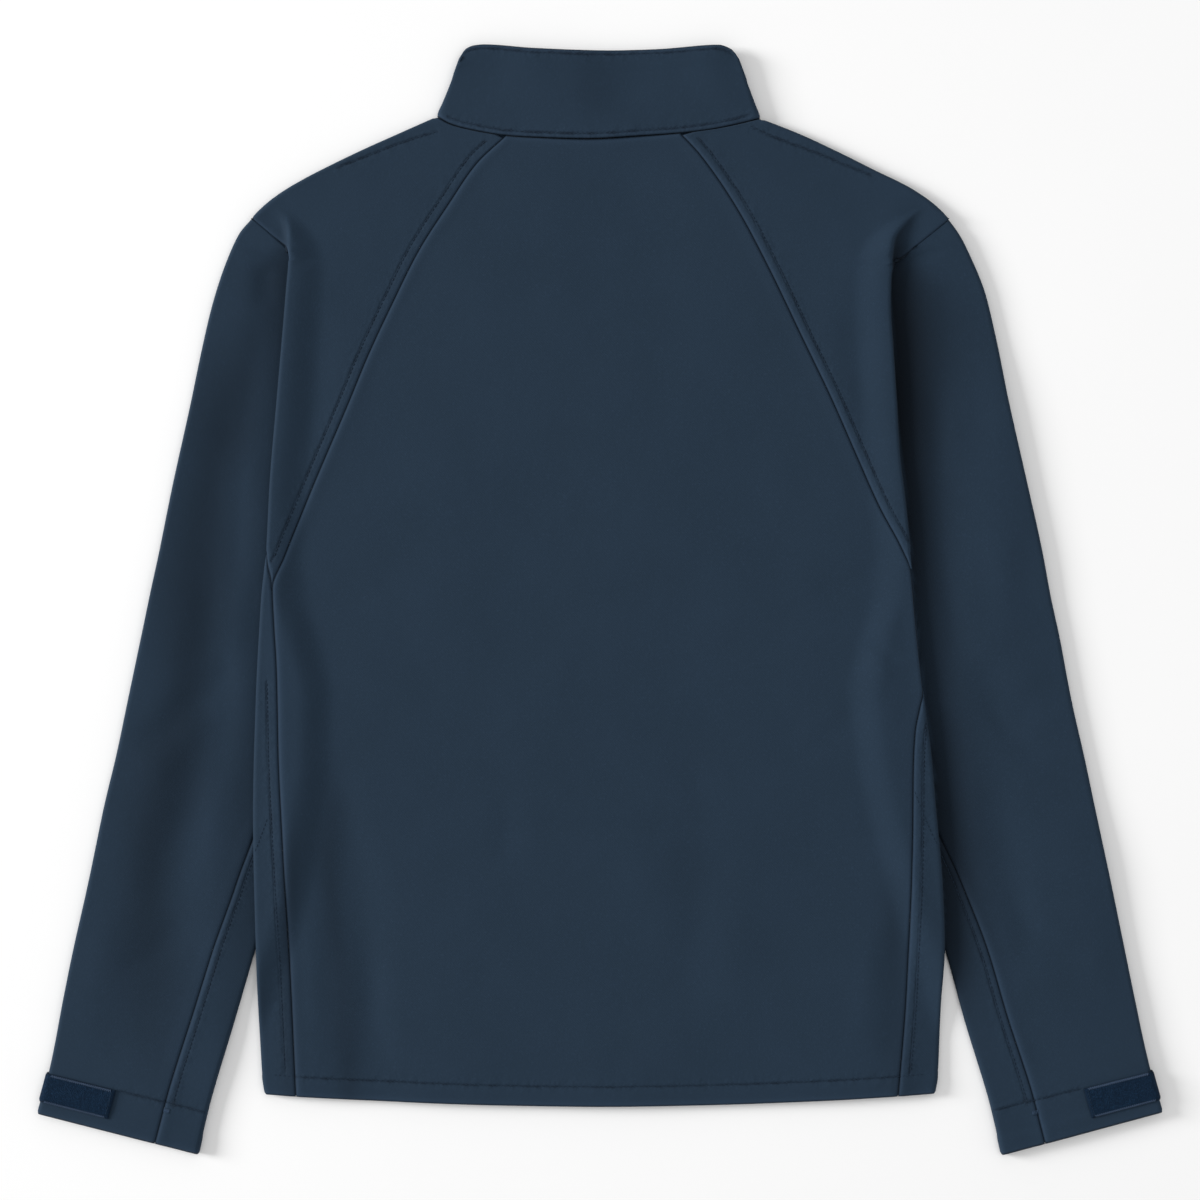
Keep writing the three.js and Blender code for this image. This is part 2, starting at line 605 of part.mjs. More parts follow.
function sleeveUnder(side) {
  const rows = tubePlaces.slice(1).map((at) => {
    const row = sleeveRow(side, at);
    const width = sleeveWidth(row);
    const across = acrossFold(row.seam - seamInset, seamInset - row.seam * seamBeneath, 10, sleeveFold);
    return across.map((place) => {
      const inward = width - Math.abs(place);
      return sleevePoint(side, at, place < 0 ? -inward : inward);
    });
  });
  return wall(rows, -signOf(side));
}

function cuffPatch(side) {
  const rows = steps(5, patch.from, patch.to).map((share) => {
    const across = acrossFold(patch.in, patch.under, 12, sleeveFold);
    return across.map((inward) => sleevePoint(side, lastRow - 1 + share, inward));
  });
  return wall(rows, signOf(side), patchThickness, patchThickness + seamGap);
}

function cuffTab(side) {
  const rows = steps(3, tab.from, tab.to).map((share) => steps(4, tab.near, tab.far).map((inward) => {
    const point = sleevePoint(side, lastRow - 1 + share, -inward);
    point.z = 0;
    return point;
  }));
  return wall(rows, signOf(side));
}

// The collar lies doubled: its back half above, its front half below, folded at both ends.

const collarRise = { ends: 7.6, middle: 8.8, from: 10, to: 60 };

function collarHeight(x) {
  return mix(collarRise.middle, collarRise.ends, within(collarRise, Math.abs(x)));
}

function collarColumn(side, inward, share) {
  const sign = signOf(side);
  const onBack = inward >= 0;
  const part = 1 - Math.abs(inward) / neckEnds[side];
  const lowX = sign * neckEnds[side] * part;
  const highX = sign * collarEnds[side] * part;
  const lowY = (onBack ? lookUp(neckSeam, lowX, 'x', 'y') : frontNeck(lowX, side)) + seamGap / 2;
  const backTopY = lookUp(collarTop, highX, 'x', 'y');
  const drop = (lookUp(collarTop, 0, 'x', 'y') - frontCollarTop) * (1 - part ** 2);
  const x = mix(lowX, highX, share);
  const y = mix(lowY, onBack ? backTopY : backTopY - drop, share);
  const radius = collarHeight(neckEnds[side]) / 2;
  const rise = collarZipRise * (1 - smooth(zipHalfOpening, zipRiseWidth, Math.abs(x)));
  const z = mix(radius, onBack ? collarHeight(x) : rise, roundness(Math.abs(inward), radius));
  return new THREE.Vector3(x, y, z);
}

function collar() {
  const onFold = [7, 3.8, 2, 0.8, 0.15];
  const rows = steps(3, 0, 1).map((share) => {
    const half = (side) => {
      const end = neckEnds[side];
      const centreEdge = (zipHalfOpening * end) / mix(neckEnds[side], collarEnds[side], share);
      const beneath = steps(4, 16, end - zipRiseWidth);
      const nearZip = steps(2, end - 13, end - centreEdge);
      const under = [...[...onFold].reverse(), ...beneath, ...nearZip].map((inward) => -inward);
      const over = [...steps(7, end, 12), ...onFold];
      return [...over, ...under].map((inward) => collarColumn(side, inward, share));
    };
    return [...half('left').reverse(), ...half('right').slice(1)];
  });
  return wall(rows, 1, collarCloth);
}

// The zip: closed teeth on their tapes, a slider at the top and its pull.

function zipChain() {
  const outline = new THREE.Shape([
    [-zip.tooth, zip.toothLow], [zip.tooth, zip.toothLow], [zip.tooth, zip.tapeLow],
    [zip.tapeHalf, zip.tapeLow], [zip.tapeHalf, zip.tapeHigh], [-zip.tapeHalf, zip.tapeHigh],
    [-zip.tapeHalf, zip.tapeLow], [-zip.tooth, zip.tapeLow],
  ].map(([x, z]) => new THREE.Vector2(x, z)));
  const geometry = new THREE.ExtrudeGeometry(outline, { depth: zip.top - zip.bottom, bevelEnabled: false });
  geometry.rotateX(Math.PI / 2);
  geometry.translate(0, zip.top, 0);
  return geometry;
}

function solid(geometry) {
  const plain = geometry.index ? geometry.toNonIndexed() : geometry;
  plain.deleteAttribute('normal');
  plain.deleteAttribute('uv');
  const merged = mergeVertices(plain, 1e-5);
  return new wasm.Manifold(new wasm.Mesh({
    numProp: 3,
    vertProperties: new Float32Array(merged.attributes.position.array),
    triVerts: new Uint32Array(merged.index.array),
  }));
}

function box(x0, x1, y0, y1, z0, z1) {
  return solid(new THREE.BoxGeometry(x1 - x0, y1 - y0, z1 - z0)
    .translate((x0 + x1) / 2, (y0 + y1) / 2, (z0 + z1) / 2));
}

function rod(radius, length, sides, y, z) {
  const upright = new THREE.CylinderGeometry(radius, radius, length, sides);
  return solid(upright.rotateZ(Math.PI / 2).translate(0, y, z));
}

function fromSolid(body) {
  const mesh = body.getMesh();
  const geometry = new THREE.BufferGeometry();
  geometry.setAttribute('position', new THREE.Float32BufferAttribute(mesh.vertProperties, 3));
  geometry.setIndex(Array.from(mesh.triVerts));
  return geometry;
}

function zipSlider() {
  const { half, low, high, wing, back, front: tip } = slider;
  const flange = zip.tooth + slider.toothRoom;
  const parts = [
    box(-half, half, back, tip, high - wing, high),
    box(flange, half, back, tip, low, zip.tapeLow - seamGap),
    box(-half, -flange, back, tip, low, zip.tapeLow - seamGap),
    box(-slider.post, slider.post, tip - slider.postLength, tip, low, high),
    box(-lug.half, lug.half, lug.y - lug.length / 2, lug.y + lug.length / 2, lug.low, low + wing),
  ];
  const whole = parts.reduce((sum, part) => sum.add(part), box(-half, half, back, tip, low, low + wing));
  return fromSolid(whole.subtract(rod(lug.holeRadius, 3 * lug.half, 20, lug.y, lug.z)));
}

function zipPull() {
  const { half, length, thickness, window, windowLength, barRadius } = pull;
  const [low, high] = [lug.z - thickness / 2, lug.z + thickness / 2];
  const plate = box(-half, half, lug.y - length, lug.y + pull.past, low, high);
  const gap = box(-window, window, lug.y - windowLength, lug.y + 1, low - 1, high + 1);
  return fromSolid(plate.subtract(gap).add(rod(barRadius, 2 * half, 12, lug.y, lug.z)));
}

// The jacket

const navy = { color: 0x29384a, roughness: 0.78, metalness: 0 };
const loopNavy = { color: 0x1c2636, roughness: 0.95, metalness: 0 };
const zipBlack = { color: 0x14181f, roughness: 0.55, metalness: 0 };
const painted = { color: 0x1b222c, roughness: 0.35, metalness: 0.6 };

const jacket = new THREE.Group();

function add(name, geometry, look) {
  const mesh = new THREE.Mesh(geometry, new THREE.MeshStandardMaterial(look));
  mesh.name = name;
  jacket.add(mesh);
}

add('back_centre', backCentre(), navy);
for (const side of ['left', 'right']) {
  add(`back_shoulder_${side}`, backShoulder(side), navy);
  add(`side_${side}`, sidePanel(side), navy);
  add(`front_${side}`, front(side), navy);
  add(`sleeve_upper_${side}`, sleeveUpper(side), navy);
  add(`sleeve_under_${side}`, sleeveUnder(side), navy);
  add(`cuff_patch_${side}`, cuffPatch(side), loopNavy);
  add(`cuff_tab_${side}`, cuffTab(side), navy);
}
add('collar', collar(), navy);
add('zip_chain', zipChain(), zipBlack);
add('zip_slider', zipSlider(), painted);
add('zip_pull', zipPull(), painted);

export default jacket;
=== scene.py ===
import math

import bpy
import numpy as np
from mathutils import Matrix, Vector
from mathutils.bvhtree import BVHTree


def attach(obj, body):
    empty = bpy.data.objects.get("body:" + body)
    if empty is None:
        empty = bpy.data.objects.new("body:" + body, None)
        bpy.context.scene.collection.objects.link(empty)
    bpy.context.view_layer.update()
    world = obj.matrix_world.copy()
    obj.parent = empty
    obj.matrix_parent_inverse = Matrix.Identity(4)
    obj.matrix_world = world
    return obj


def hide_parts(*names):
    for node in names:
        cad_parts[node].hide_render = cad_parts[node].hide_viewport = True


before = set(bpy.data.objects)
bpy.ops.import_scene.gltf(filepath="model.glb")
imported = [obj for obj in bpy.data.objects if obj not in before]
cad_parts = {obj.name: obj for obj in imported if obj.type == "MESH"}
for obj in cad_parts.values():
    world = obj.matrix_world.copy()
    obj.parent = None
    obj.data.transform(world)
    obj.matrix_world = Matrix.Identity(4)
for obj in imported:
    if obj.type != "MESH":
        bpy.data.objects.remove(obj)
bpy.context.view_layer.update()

# Softshell jacket laid flat on its front, back up. Lengths are in millimetres until a mesh is made.
# +X is the viewer's right, +Y the collar, +Z up.

mm = 0.001
jacket = dict(
    cloth=1.35,  # softshell as it shows
    collarCloth=2.4,
    seam=0.12,  # each panel stops this far from its seam line
    bodyHeight=6.7,
    foldHeight=5.4,  # body's height at a side fold
    bodyFold=2.7,  # radius of a side fold
    bodySwell=(3, 30),  # in from a side fold, the body rises to its full height over this
    armhole=245,  # top level of the straight side fold
    armholeTop=(246, 262),  # the side fold turns into the sleeve cap over these levels
    foldSoftens=(246, 251),
    shoulderEdge=(281, 290),
    hemBend=130,  # the hem's curve fades out over this height
    sleeveStack=5.6,  # sleeve under the body's edge lifts it by this
    sleeveRamp=26,
    sleeveUnderBody=3.7,  # pressed down under the body's edge
    sleeveHeight=6.4,
    sleeveFree=(-5, 34),  # from the body's edge, it rises to its full height over this
    sleeveTop=(250, 262),
    sleeveClear=(4, 24),  # its creases begin over this distance from the body's edge
    sleeveFold=2.5,
    shoulderSeam=3.2,
    frontNeckLow=305,
    frontCollarTop=372,
    zipOpening=5.2,
    zipRise=2.6,
    collarZipRise=1.7,
    zipRiseWidth=22,
    cuffRise=1.8,
    collarFold=3.8,
    collarHeight=7.6,
    collarMiddle=1.2,  # it stands this much higher at the centre
    collarMiddleWidth=(10, 60),
)
sides = ("left", "right")
signs = dict(left=-1, right=1)


# Curves

def smooth(low, high, at):
    t = np.clip((np.asarray(at, float) - low) / (high - low), 0, 1)
    return t * t * (3 - 2 * t)


def mix(a, b, t):
    return a + (b - a) * t


def bell(at, middle, width):
    return np.exp(-(((at - middle) / width) ** 2))


def curve(rows, at):
    # through the rows of (key, value) without overshooting them
    table = np.array(sorted(rows), float)
    keys, values = table[:, 0], table[:, 1]
    slopes = np.diff(values) / np.diff(keys)
    product = slopes[:-1] * slopes[1:]
    total = np.where(product > 0, slopes[:-1] + slopes[1:], 1)
    bends = np.where(product > 0, 2 * product / total, 0)
    tangents = np.concatenate([slopes[:1], bends, slopes[-1:]])
    at = np.clip(at, keys[0], keys[-1])
    i = np.clip(np.searchsorted(keys, at, side="right") - 1, 0, len(slopes) - 1)
    span = keys[i + 1] - keys[i]
    t = (at - keys[i]) / span
    ends = values[i] * (1 + 2 * t) * (1 - t) ** 2 + values[i + 1] * t * t * (3 - 2 * t)
    return ends + span * t * (1 - t) * ((1 - t) * tangents[i] - t * tangents[i + 1])


def crowd(start, end, count, features=(0,), fine=0.45, coarse=3.2, growth=0.3):
    # places from start to end, closer together at both ends and at the features
    line = np.linspace(start, end, 700)
    marks = [start, end, *[f for f in features if min(start, end) < f < max(start, end)]]
    away = np.min([np.abs(line - mark) for mark in marks], axis=0)
    density = 1 / np.minimum(fine + growth * away, coarse)
    share = np.concatenate([[0], np.cumsum((density[1:] + density[:-1]) / 2)])
    return np.interp(np.linspace(0, share[-1], count + 1), share, line)


def unrolled(arc, radius):
    # distance in from a fold, of a place this far along the cloth from it; negative is underneath
    quarter = radius * math.pi / 2
    away = np.abs(arc)
    onBend = radius * (1 - np.cos(np.minimum(away, quarter) / radius))
    return np.sign(arc) * np.where(away < quarter, onBend, away - quarter + radius)


def rolled(inward, radius):
    away = abs(inward)
    quarter = radius * math.pi / 2
    arc = radius * math.acos(1 - away / radius) if away < radius else away - radius + quarter
    return math.copysign(arc, inward)


def acrossFold(start, end, count, radius=jacket["bodyFold"], **spacing):
    return unrolled(crowd(rolled(start, radius), rolled(end, radius), count, **spacing), radius)


def roundness(inward, radius):
    t = np.clip(inward / radius, 0, 1)
    return np.sqrt(1 - (1 - t) ** 2)


# The outline and the seams: level, then distance from the centre line

edges = dict(
    left=[
        (358, 121), (346.5, 147), (330.5, 182.5), (312, 219.5), (302, 236.5), (292.5, 249), (285, 256.5),
        (282.5, 258), (281, 256.2), (270.5, 244), (260, 232), (250, 230.3), (235, 231.5), (193, 235),
        (147.5, 239), (88.5, 244), (39, 246.5), (-1, 250.5), (-74.5, 254.5), (-159.5, 256.5),
        (-255.5, 254.5), (-349.5, 250.5), (-366.5, 248),
    ],
    right=[
        (356.5, 119), (346, 146), (332, 176.5), (319.5, 201.5), (304, 232.5), (291, 250.5), (284, 257),
        (281.6, 258.5), (280.2, 256.6), (271.5, 246), (260.3, 232), (249, 218), (240, 215.5), (221.5, 215),
        (185.5, 217), (147.5, 219.5), (107.5, 222), (73.5, 226), (27, 230.5), (-29, 235), (-74.5, 240),
        (-113, 245), (-153.5, 248.5), (-210.5, 253.5), (-255, 255), (-296.5, 252.5), (-350, 250.5),
        (-366.5, 248),
    ],
)
backSeams = dict(
    left=[
        (344, 69.2), (323, 91.5), (292.5, 112.5), (258, 134.5), (218, 154.5), (181.5, 171.5), (147.5, 185.5),
        (78, 215), (31.5, 233.5), (8, 242), (-15, 241), (-50.5, 239), (-116.5, 237.5), (-173.5, 234.8),
        (-235.5, 231.4), (-296.5, 228.3), (-366.5, 225),
    ],
    right=[
        (345.6, 59.1), (329.5, 74), (289.5, 101.5), (247.5, 124), (195.5, 149), (147.5, 172), (107.5, 189.5),
        (67, 207.5), (37.5, 223), (19, 230.5), (-30, 234.8), (-67, 238.8), (-79, 236.3), (-98, 232.7),
        (-124, 231.3), (-173.5, 230.8), (-230, 229.3), (-296.5, 226.5), (-366.5, 220.5),
    ],
)
armpits = dict(left=dict(panelTop=36, merge=8, tip=8.5), right=dict(panelTop=14, merge=400, tip=23))
armpitSeamReach = 7

# How far in from the body's edge the sleeve's stack reaches, the fold's radius there, and how far the
# shoulder panel and the side panel run on underneath, all by level
tucks = [
    (300, -30), (262, -12), (245, 3), (39, 3), (8, 6), (-30, 20), (-74, 32), (-116, 32), (-152, 28),
    (-210, 18), (-256, 4), (-298, -12), (-345, -32), (-367, -40),
]
edgeRounds = [(358, 5), (290, 6), (280, 0.6), (262, 0.6), (246, 2.7), (-367, 2.7)]
turnedUnder = [(252, 0), (238, 2.5), (100, 6), (62, 4), (36, 0)]
sideUnderneath = [(39, 0.6), (0, 4), (-50, 13), (-150, 20), (-367, 26)]

# Across the jacket: distance from the centre line, then level
neckSeam = [
    (-121, 358), (-110, 352), (-95, 348), (-71.5, 344), (-53, 342.6), (-10, 341.2), (33, 343.6),
    (59.5, 345.6), (80, 348), (98.5, 351.5), (119, 356.5),
]
collarTop = [
    (-104.5, 397), (-103, 403), (-98, 408.5), (-92.5, 410.4), (-85.5, 411), (-48, 408), (4, 406.5),
    (41.5, 407.5), (87.5, 410.5), (96, 408), (101, 403), (104, 397),
]
hemLine = [
    (-248, -366), (-224.5, -367.5), (-168.5, -370.5), (-74, -374), (0, -375), (74, -374), (169, -370.5),
    (226, -367), (248, -365.5),
]
neckEnds = dict(left=121, right=119)
collarEnds = dict(left=104.5, right=104)
neckEndY = dict(left=358, right=356.5)

# Each sleeve, fold line to fold line: outer x and y, inner x and y, and how far in the back seam runs
sleeveRows = dict(
    left=[
        (258.4, 282.1, 222.3, 251.1, 0), (266.8, 272.2, 219, 233, 0), (277.5, 249, 217.5, 208.5, 0),
        (287.5, 218, 218.5, 183, 0), (296, 181.5, 220, 153.5, 0), (303, 147.5, 222, 124, 0),
        (317, 84, 227, 66, 0), (327, 34.5, 235, 22, 0), (333, 7, 244.5, -0.5, 0.8),
        (338.5, -19.5, 234, -24, 6), (350, -74.5, 222.5, -74.5, 13), (358.5, -115, 224.5, -116.5, 16),
        (367, -150.5, 229, -150.5, 19), (379.5, -210.5, 241.5, -210.5, 28), (390.5, -259.5, 257, -264.5, 31),
        (398, -296.5, 270, -309.5, 31.5), (407.5, -346.5, 289.5, -375.5, 32),
        (416.5, -380, 297.5, -410.5, 33),
    ],
    right=[
        (258.9, 281.1, 210.8, 242.9, 0), (266.5, 270.5, 205, 226, 0), (275.5, 252.5, 203, 205.5, 0),
        (285, 229, 203, 184.5, 0), (294, 192, 204, 153.5, 0), (303, 147.5, 206, 118, 0),
        (315.5, 92, 211, 70, 0), (327.5, 38, 219, 25.5, 0), (334.5, 0.5, 226.5, -5.5, 0.8),
        (340.5, -27, 217.5, -30, 6), (349.5, -74.5, 209.5, -74.5, 13), (359, -116.5, 213.5, -116.5, 17),
        (366.5, -152, 221.5, -152, 20), (379, -210.5, 240, -210.5, 28), (388.5, -257, 256.5, -262, 31),
        (397, -298.5, 270, -311, 31.5), (407, -345, 289, -374, 32), (416.5, -379, 297.5, -411, 33),
    ],
)
armpitRow = 8
lastRow = 17
seamBeneath = 1.15  # the lower sleeve seam runs this much further in underneath


def edgeAt(side, y):
    return curve(edges[side], y)


def beside(rows, at, distance):
    slope = (curve(rows, at + 1) - curve(rows, at - 1)) / 2
    return curve(rows, at) + distance * np.hypot(1, slope)


# Above the armhole the body's fold runs on as a soft crease over the sleeve: level, distance from the
# centre line, and by level how soft it is

foldLines = dict(
    left=[(240, 231), (250, 230.8), (262, 231.2), (276, 232), (288, 235), (300, 240)],
    right=[(240, 215.5), (251.5, 216.2), (266.7, 218.4), (278.5, 226), (287, 233.6), (296, 244)],
)
foldSoftness = [(245, 1.4), (256, 2.6), (270, 3.8), (280, 5), (292, 9)]
foldReach = [(245, 3), (262, -1), (276, -9), (292, -24), (310, -30)]
softCreaseLevels = (248, 294)


def foldAt(side, y):
    return np.where(y > jacket["armhole"], curve(foldLines[side], y), edgeAt(side, y))


# Heights of the body

def sleeveLift(inward, y, reaches=tucks):
    return jacket["sleeveStack"] * (1 - smooth(0, jacket["sleeveRamp"], inward - curve(reaches, y)))


def backTop(side, y, inward):
    swell = np.maximum(smooth(*jacket["bodySwell"], inward), smooth(*jacket["armholeTop"], y))
    beyond = edgeAt(side, y) - inward - curve(foldLines[side], y)
    softness = curve(foldSoftness, y)
    onFold = sleeveLift(-beyond, y, foldReach) * (1 - smooth(-softness, softness, beyond))
    lift = mix(sleeveLift(inward, y), onFold, smooth(*jacket["foldSoftens"], y))
    return lift + mix(jacket["foldHeight"], jacket["bodyHeight"], swell)


def edgeMid(side, y):
    fold = sleeveLift(0, y) + jacket["foldHeight"] / 2
    cap = mix(fold, backTop(side, y, np.zeros_like(y)), smooth(*jacket["armholeTop"], y))
    return mix(cap, jacket["shoulderSeam"], smooth(*jacket["shoulderEdge"], y))


def backPoints(side, y, inward):
    inward = np.asarray(inward, float)
    y = y + 0 * inward
    away = np.abs(inward)
    x = signs[side] * (edgeAt(side, y) - away)
    around = roundness(away, curve(edgeRounds, y))
    flat = np.where(inward >= 0, backTop(side, y, away), sleeveLift(away, y))
    return np.stack([x, y, mix(edgeMid(side, y), flat, around)], -1)


def bendToHem(points):
    flatHem = hemLine[0][1]
    share = 1 - smooth(flatHem, flatHem + jacket["hemBend"], points[..., 1])
    points[..., 1] += (curve(hemLine, points[..., 0]) - flatHem) * share
    return points


# Folds and creases of the cloth as it lies: half width, height above or below, and a line of points

bodyCreases = [
    (16, -1.9, [(-164, -410), (-168, -340), (-170, -280), (-178, -220), (-188, -160), (-194, -100)]),
    (11, 0.7, [(-214, -400), (-212, -320), (-214, -250), (-220, -180)]),
    (15, -0.6, [(-66, -210), (-70, -160), (-60, -120)]),
    (19, -0.8, [(64, -330), (70, -230), (66, -150), (58, -80)]),
    (20, 0.6, [(96, -340), (102, -250), (98, -180)]),
    (13, -1.2, [(219, -350), (222, -290), (226, -230)]),
    (13, 0.7, [(196, -345), (198, -290), (204, -230)]),
    (7, -0.35, [(-126, -172), (-40, -168), (40, -171), (90, -166)]),
    (8, 0.25, [(-120, -160), (-30, -157), (60, -160)]),
    (12, -0.6, [(126, -126), (168, -96), (208, -66)]),
    (13, 0.55, [(136, -112), (176, -84), (214, -52)]),
    (5, -0.8, [(200, -30), (222, -48)]),
    (6, 0.6, [(196, -40), (216, -60)]),
    (9, -0.6, [(-232, 20), (-200, 4), (-160, -2)]),
    (10, 0.5, [(-226, 34), (-196, 20), (-156, 12)]),
    (9, -0.5, [(214, 30), (184, 12), (150, 6)]),
    (13, -0.9, [(-214, 236), (-206, 190), (-210, 140), (-218, 90)]),
    (15, 0.5, [(-190, 220), (-186, 160), (-196, 100)]),
    (13, -0.7, [(196, 226), (190, 176), (198, 120)]),
    (15, 0.5, [(172, 250), (170, 190), (182, 130)]),
    (7, -0.8, [(246, 302), (234, 282), (224, 268), (220, 246)]),
    (9, 0.8, [(227, 292), (215, 272), (209, 250), (207, 226)]),
    (7, -0.5, [(-250, 288), (-240, 272), (-236, 256)]),
    (26, 0.5, [(-30, 318), (-34, 250), (-24, 170)]),
    (24, -0.4, [(40, 300), (46, 220), (40, 120)]),
    (30, 0.5, [(-150, 120), (-110, 40), (-96, -60)]),
    (30, -0.5, [(120, 110), (130, 30), (124, -50)]),
]
collarCreases = [
    (27, 1.7, [(-54, 450), (-52, 400), (-56, 346)]),
    (29, -1.9, [(20, 450), (20, 400), (14, 346)]),
    (16, 1.0, [(86, 440), (84, 392), (96, 350)]),
]
sleeveCreases = dict(
    left=[
        (23, -2.7, [(-246, 260), (-254, 190), (-276, 110), (-286, 10), (-292, -100), (-314, -190),
                    (-325, -250), (-322, -330)]),
        (15, 0.7, [(-300, 190), (-316, 100), (-336, -20), (-352, -120)]),
        (20, 0.7, [(-362, -220), (-378, -300), (-384, -350)]),
        (14, 0.7, [(-244, 40), (-248, -60), (-250, -140)]),
        (10, -1.6, [(-246, 250), (-240, 214)]),
        (9, -0.8, [(-296, -60), (-322, -96), (-346, -112)]),
        (10, 0.7, [(-290, -84), (-318, -118), (-344, -134)]),
        (8, -0.7, [(-270, -40), (-286, -66), (-308, -84)]),
        (10, -0.6, [(-300, -230), (-330, -262), (-362, -276)]),
    ],
    right=[
        (16, 1.2, [(292, 196), (296, 120), (298, 30), (306, -60)]),
        (13, -1.5, [(252, 214), (250, 120), (256, 20), (270, -80)]),
        (13, -1.3, [(276, -40), (296, -70), (330, -96)]),
        (13, 0.9, [(270, -16), (300, -46), (334, -66)]),
        (14, -1.4, [(288, -110), (302, -190), (324, -290)]),
        (18, 0.8, [(344, -150), (360, -230), (376, -310)]),
        (9, -0.8, [(280, -66), (304, -100), (336, -126)]),
        (10, -0.5, [(306, -226), (338, -262), (372, -272)]),
    ],
)


def alongLine(x, y, line, reach=math.inf):
    # how far each place is from a line of points, and how far along the line its nearest point lies
    away = np.full_like(x, 1e9)
    place = np.zeros_like(x)
    before = 0.0
    for (ax, ay), (bx, by) in zip(line[:-1], line[1:]):
        length = math.hypot(bx - ax, by - ay)
        near = (np.abs(x - ax) < reach) & (np.abs(y - ay) < reach)
        nearX, nearY = x[near], y[near]
        t = np.clip(((nearX - ax) * (bx - ax) + (nearY - ay) * (by - ay)) / length ** 2, 0, 1)
        distance = np.hypot(nearX - mix(ax, bx, t), nearY - mix(ay, by, t))
        closer = distance < away[near]
        away[near] = np.where(closer, distance, away[near])
        place[near] = np.where(closer, before + t * length, place[near])
        before += length
    return away, place


creaseEnds = dict(fadeIn=0.3, fadeOut=0.7, wander=0.25, wanderLong=23)


def creased(x, y, creases):
    # each crease fades out towards both ends, and its width wanders a little
    height = np.zeros_like(x)
    for width, rise, line in creases:
        away, place = alongLine(x, y, line)
        total = np.hypot(*np.diff(line, axis=0).T).sum()
        fadeIn = smooth(0, creaseEnds["fadeIn"] * total, place)
        fadeOut = 1 - smooth(creaseEnds["fadeOut"] * total, total, place)
        wander = 1 + creaseEnds["wander"] * np.sin(place / creaseEnds["wanderLong"] + line[0][0])
        height += rise * fadeIn * fadeOut * bell(away, 0, width * wander)
    return height


# Painted shade, darkened into the cloth's colour beside the body's edge where the edge's shadow falls: by
# level, the share of light it loses and how far out. The hollows are lines of painted shade too.

paintedTuckDepths = dict(
    left=[(292, 0), (270, 0.2), (240, 0.42), (190, 0.3), (100, 0.12), (-40, 0.1), (-200, 0.2), (-380, 0)],
    right=[(292, 0), (276, 0.4), (255, 0.8), (200, 0.95), (150, 0.96), (60, 0.86), (-60, 0.64),
           (-160, 0.8), (-250, 0.74), (-330, 0.2), (-380, 0)],
)
paintedTuckReach = dict(
    left=[(245, 26), (262, 10), (290, 6)],
    right=[(-60, 27), (28, 25), (97, 29), (160, 36), (205, 38), (228, 33), (240, 25), (252, 16), (270, 9),
           (290, 6)],
)
paintedSleeveHollows = [
    (24, 0.36, [(-214, 330), (-237, 240), (-270, 155), (-290, 80), (-299, 0), (-310, -94), (-332, -180),
                (-336, -267), (-328, -340), (-322, -430)]),
]
paintedBodyHollows = [
    (10, 0.22, [(-196, -90), (-202, -186), (-192, -290), (-186, -350), (-184, -440)]),
    (6, 0.26, [(-226, -150), (-232, -240), (-231, -320), (-230, -440)]),
    (10, 0.17, [(214, -170), (218, -250), (222, -320), (222, -430)]),
    (14, 0.07, [(64, -60), (68, -160), (66, -260)]),
    (22, 0.07, [(-4, 460), (-8, 400), (-4, 340)]),
]


# painted shade: darkens the colour just beyond the body's fold, in place of the shadow the edge casts
def paintedTuckShade(x, y):
    shade = np.zeros_like(x)
    for side in sides:
        out = signs[side] * x - foldAt(side, y)
        mine = shadeStart(out) * bell(out, 0, curve(paintedTuckReach[side], y)) * curve(paintedTuckDepths[side], y)
        shade = np.where(signs[side] * x > 0, np.maximum(shade, mine), shade)
    return shade


def shadeStart(out):
    softness = 1.2
    return smooth(-softness, softness, out)


# painted shade along the hollows' lines; the sleeve's lines count only beyond the left fold
def paintedHollowShade(x, y):
    onSleeve = shadeStart(-x - foldAt("left", y))
    return creased(x, y, paintedSleeveHollows) * onSleeve + creased(x, y, paintedBodyHollows)


# across, along, shift, height
waves = [
    (61, 17, 0.3, 0.22), (-23, 71, 1.7, 0.2), (37, 43, 4.1, 0.14), (-47, 29, 2.6, 0.12),
    (19, -31, 0.9, 0.06),
]


def rumpled(x, y):
    # slow unevenness of cloth that was smoothed by hand
    return sum(size * np.sin(x / across + y / along + shift) for across, along, shift, size in waves)


# Panels: rows of points on the outer face

farAway = 60.0  # a distance at which no seam or stitch has any effect
floorGap = 0.02
backHalf = 84  # columns from the centre line to either seam
collarHalf = 130


def faceNormals(grid):
    alongRow = np.gradient(grid, axis=1)
    alongColumn = np.gradient(grid, axis=0)
    normal = np.cross(alongRow, alongColumn)
    return normal / np.maximum(np.linalg.norm(normal, axis=-1, keepdims=True), 1e-9)


def spacing(grid):
    return [np.linalg.norm(np.diff(grid, axis=axis), axis=-1) for axis in (1, 0)]


def seamAway(grid, borders):
    # distance of each point from the nearest of the named borders, along the cloth
    across, along = spacing(grid)
    fromStart = np.concatenate([np.zeros_like(across[:, :1]), np.cumsum(across, 1)], 1)
    fromFirst = np.concatenate([np.zeros_like(along[:1]), np.cumsum(along, 0)], 0)
    distances = dict(
        start=fromStart, end=fromStart[:, -1:] - fromStart,
        first=fromFirst, last=fromFirst[-1:] - fromFirst,
    )
    return np.min([np.full(grid.shape[:2], farAway), *[distances[b] for b in borders]], axis=0)


def joined(halves):
    return np.concatenate([halves["left"][::-1], halves["right"][1:]])


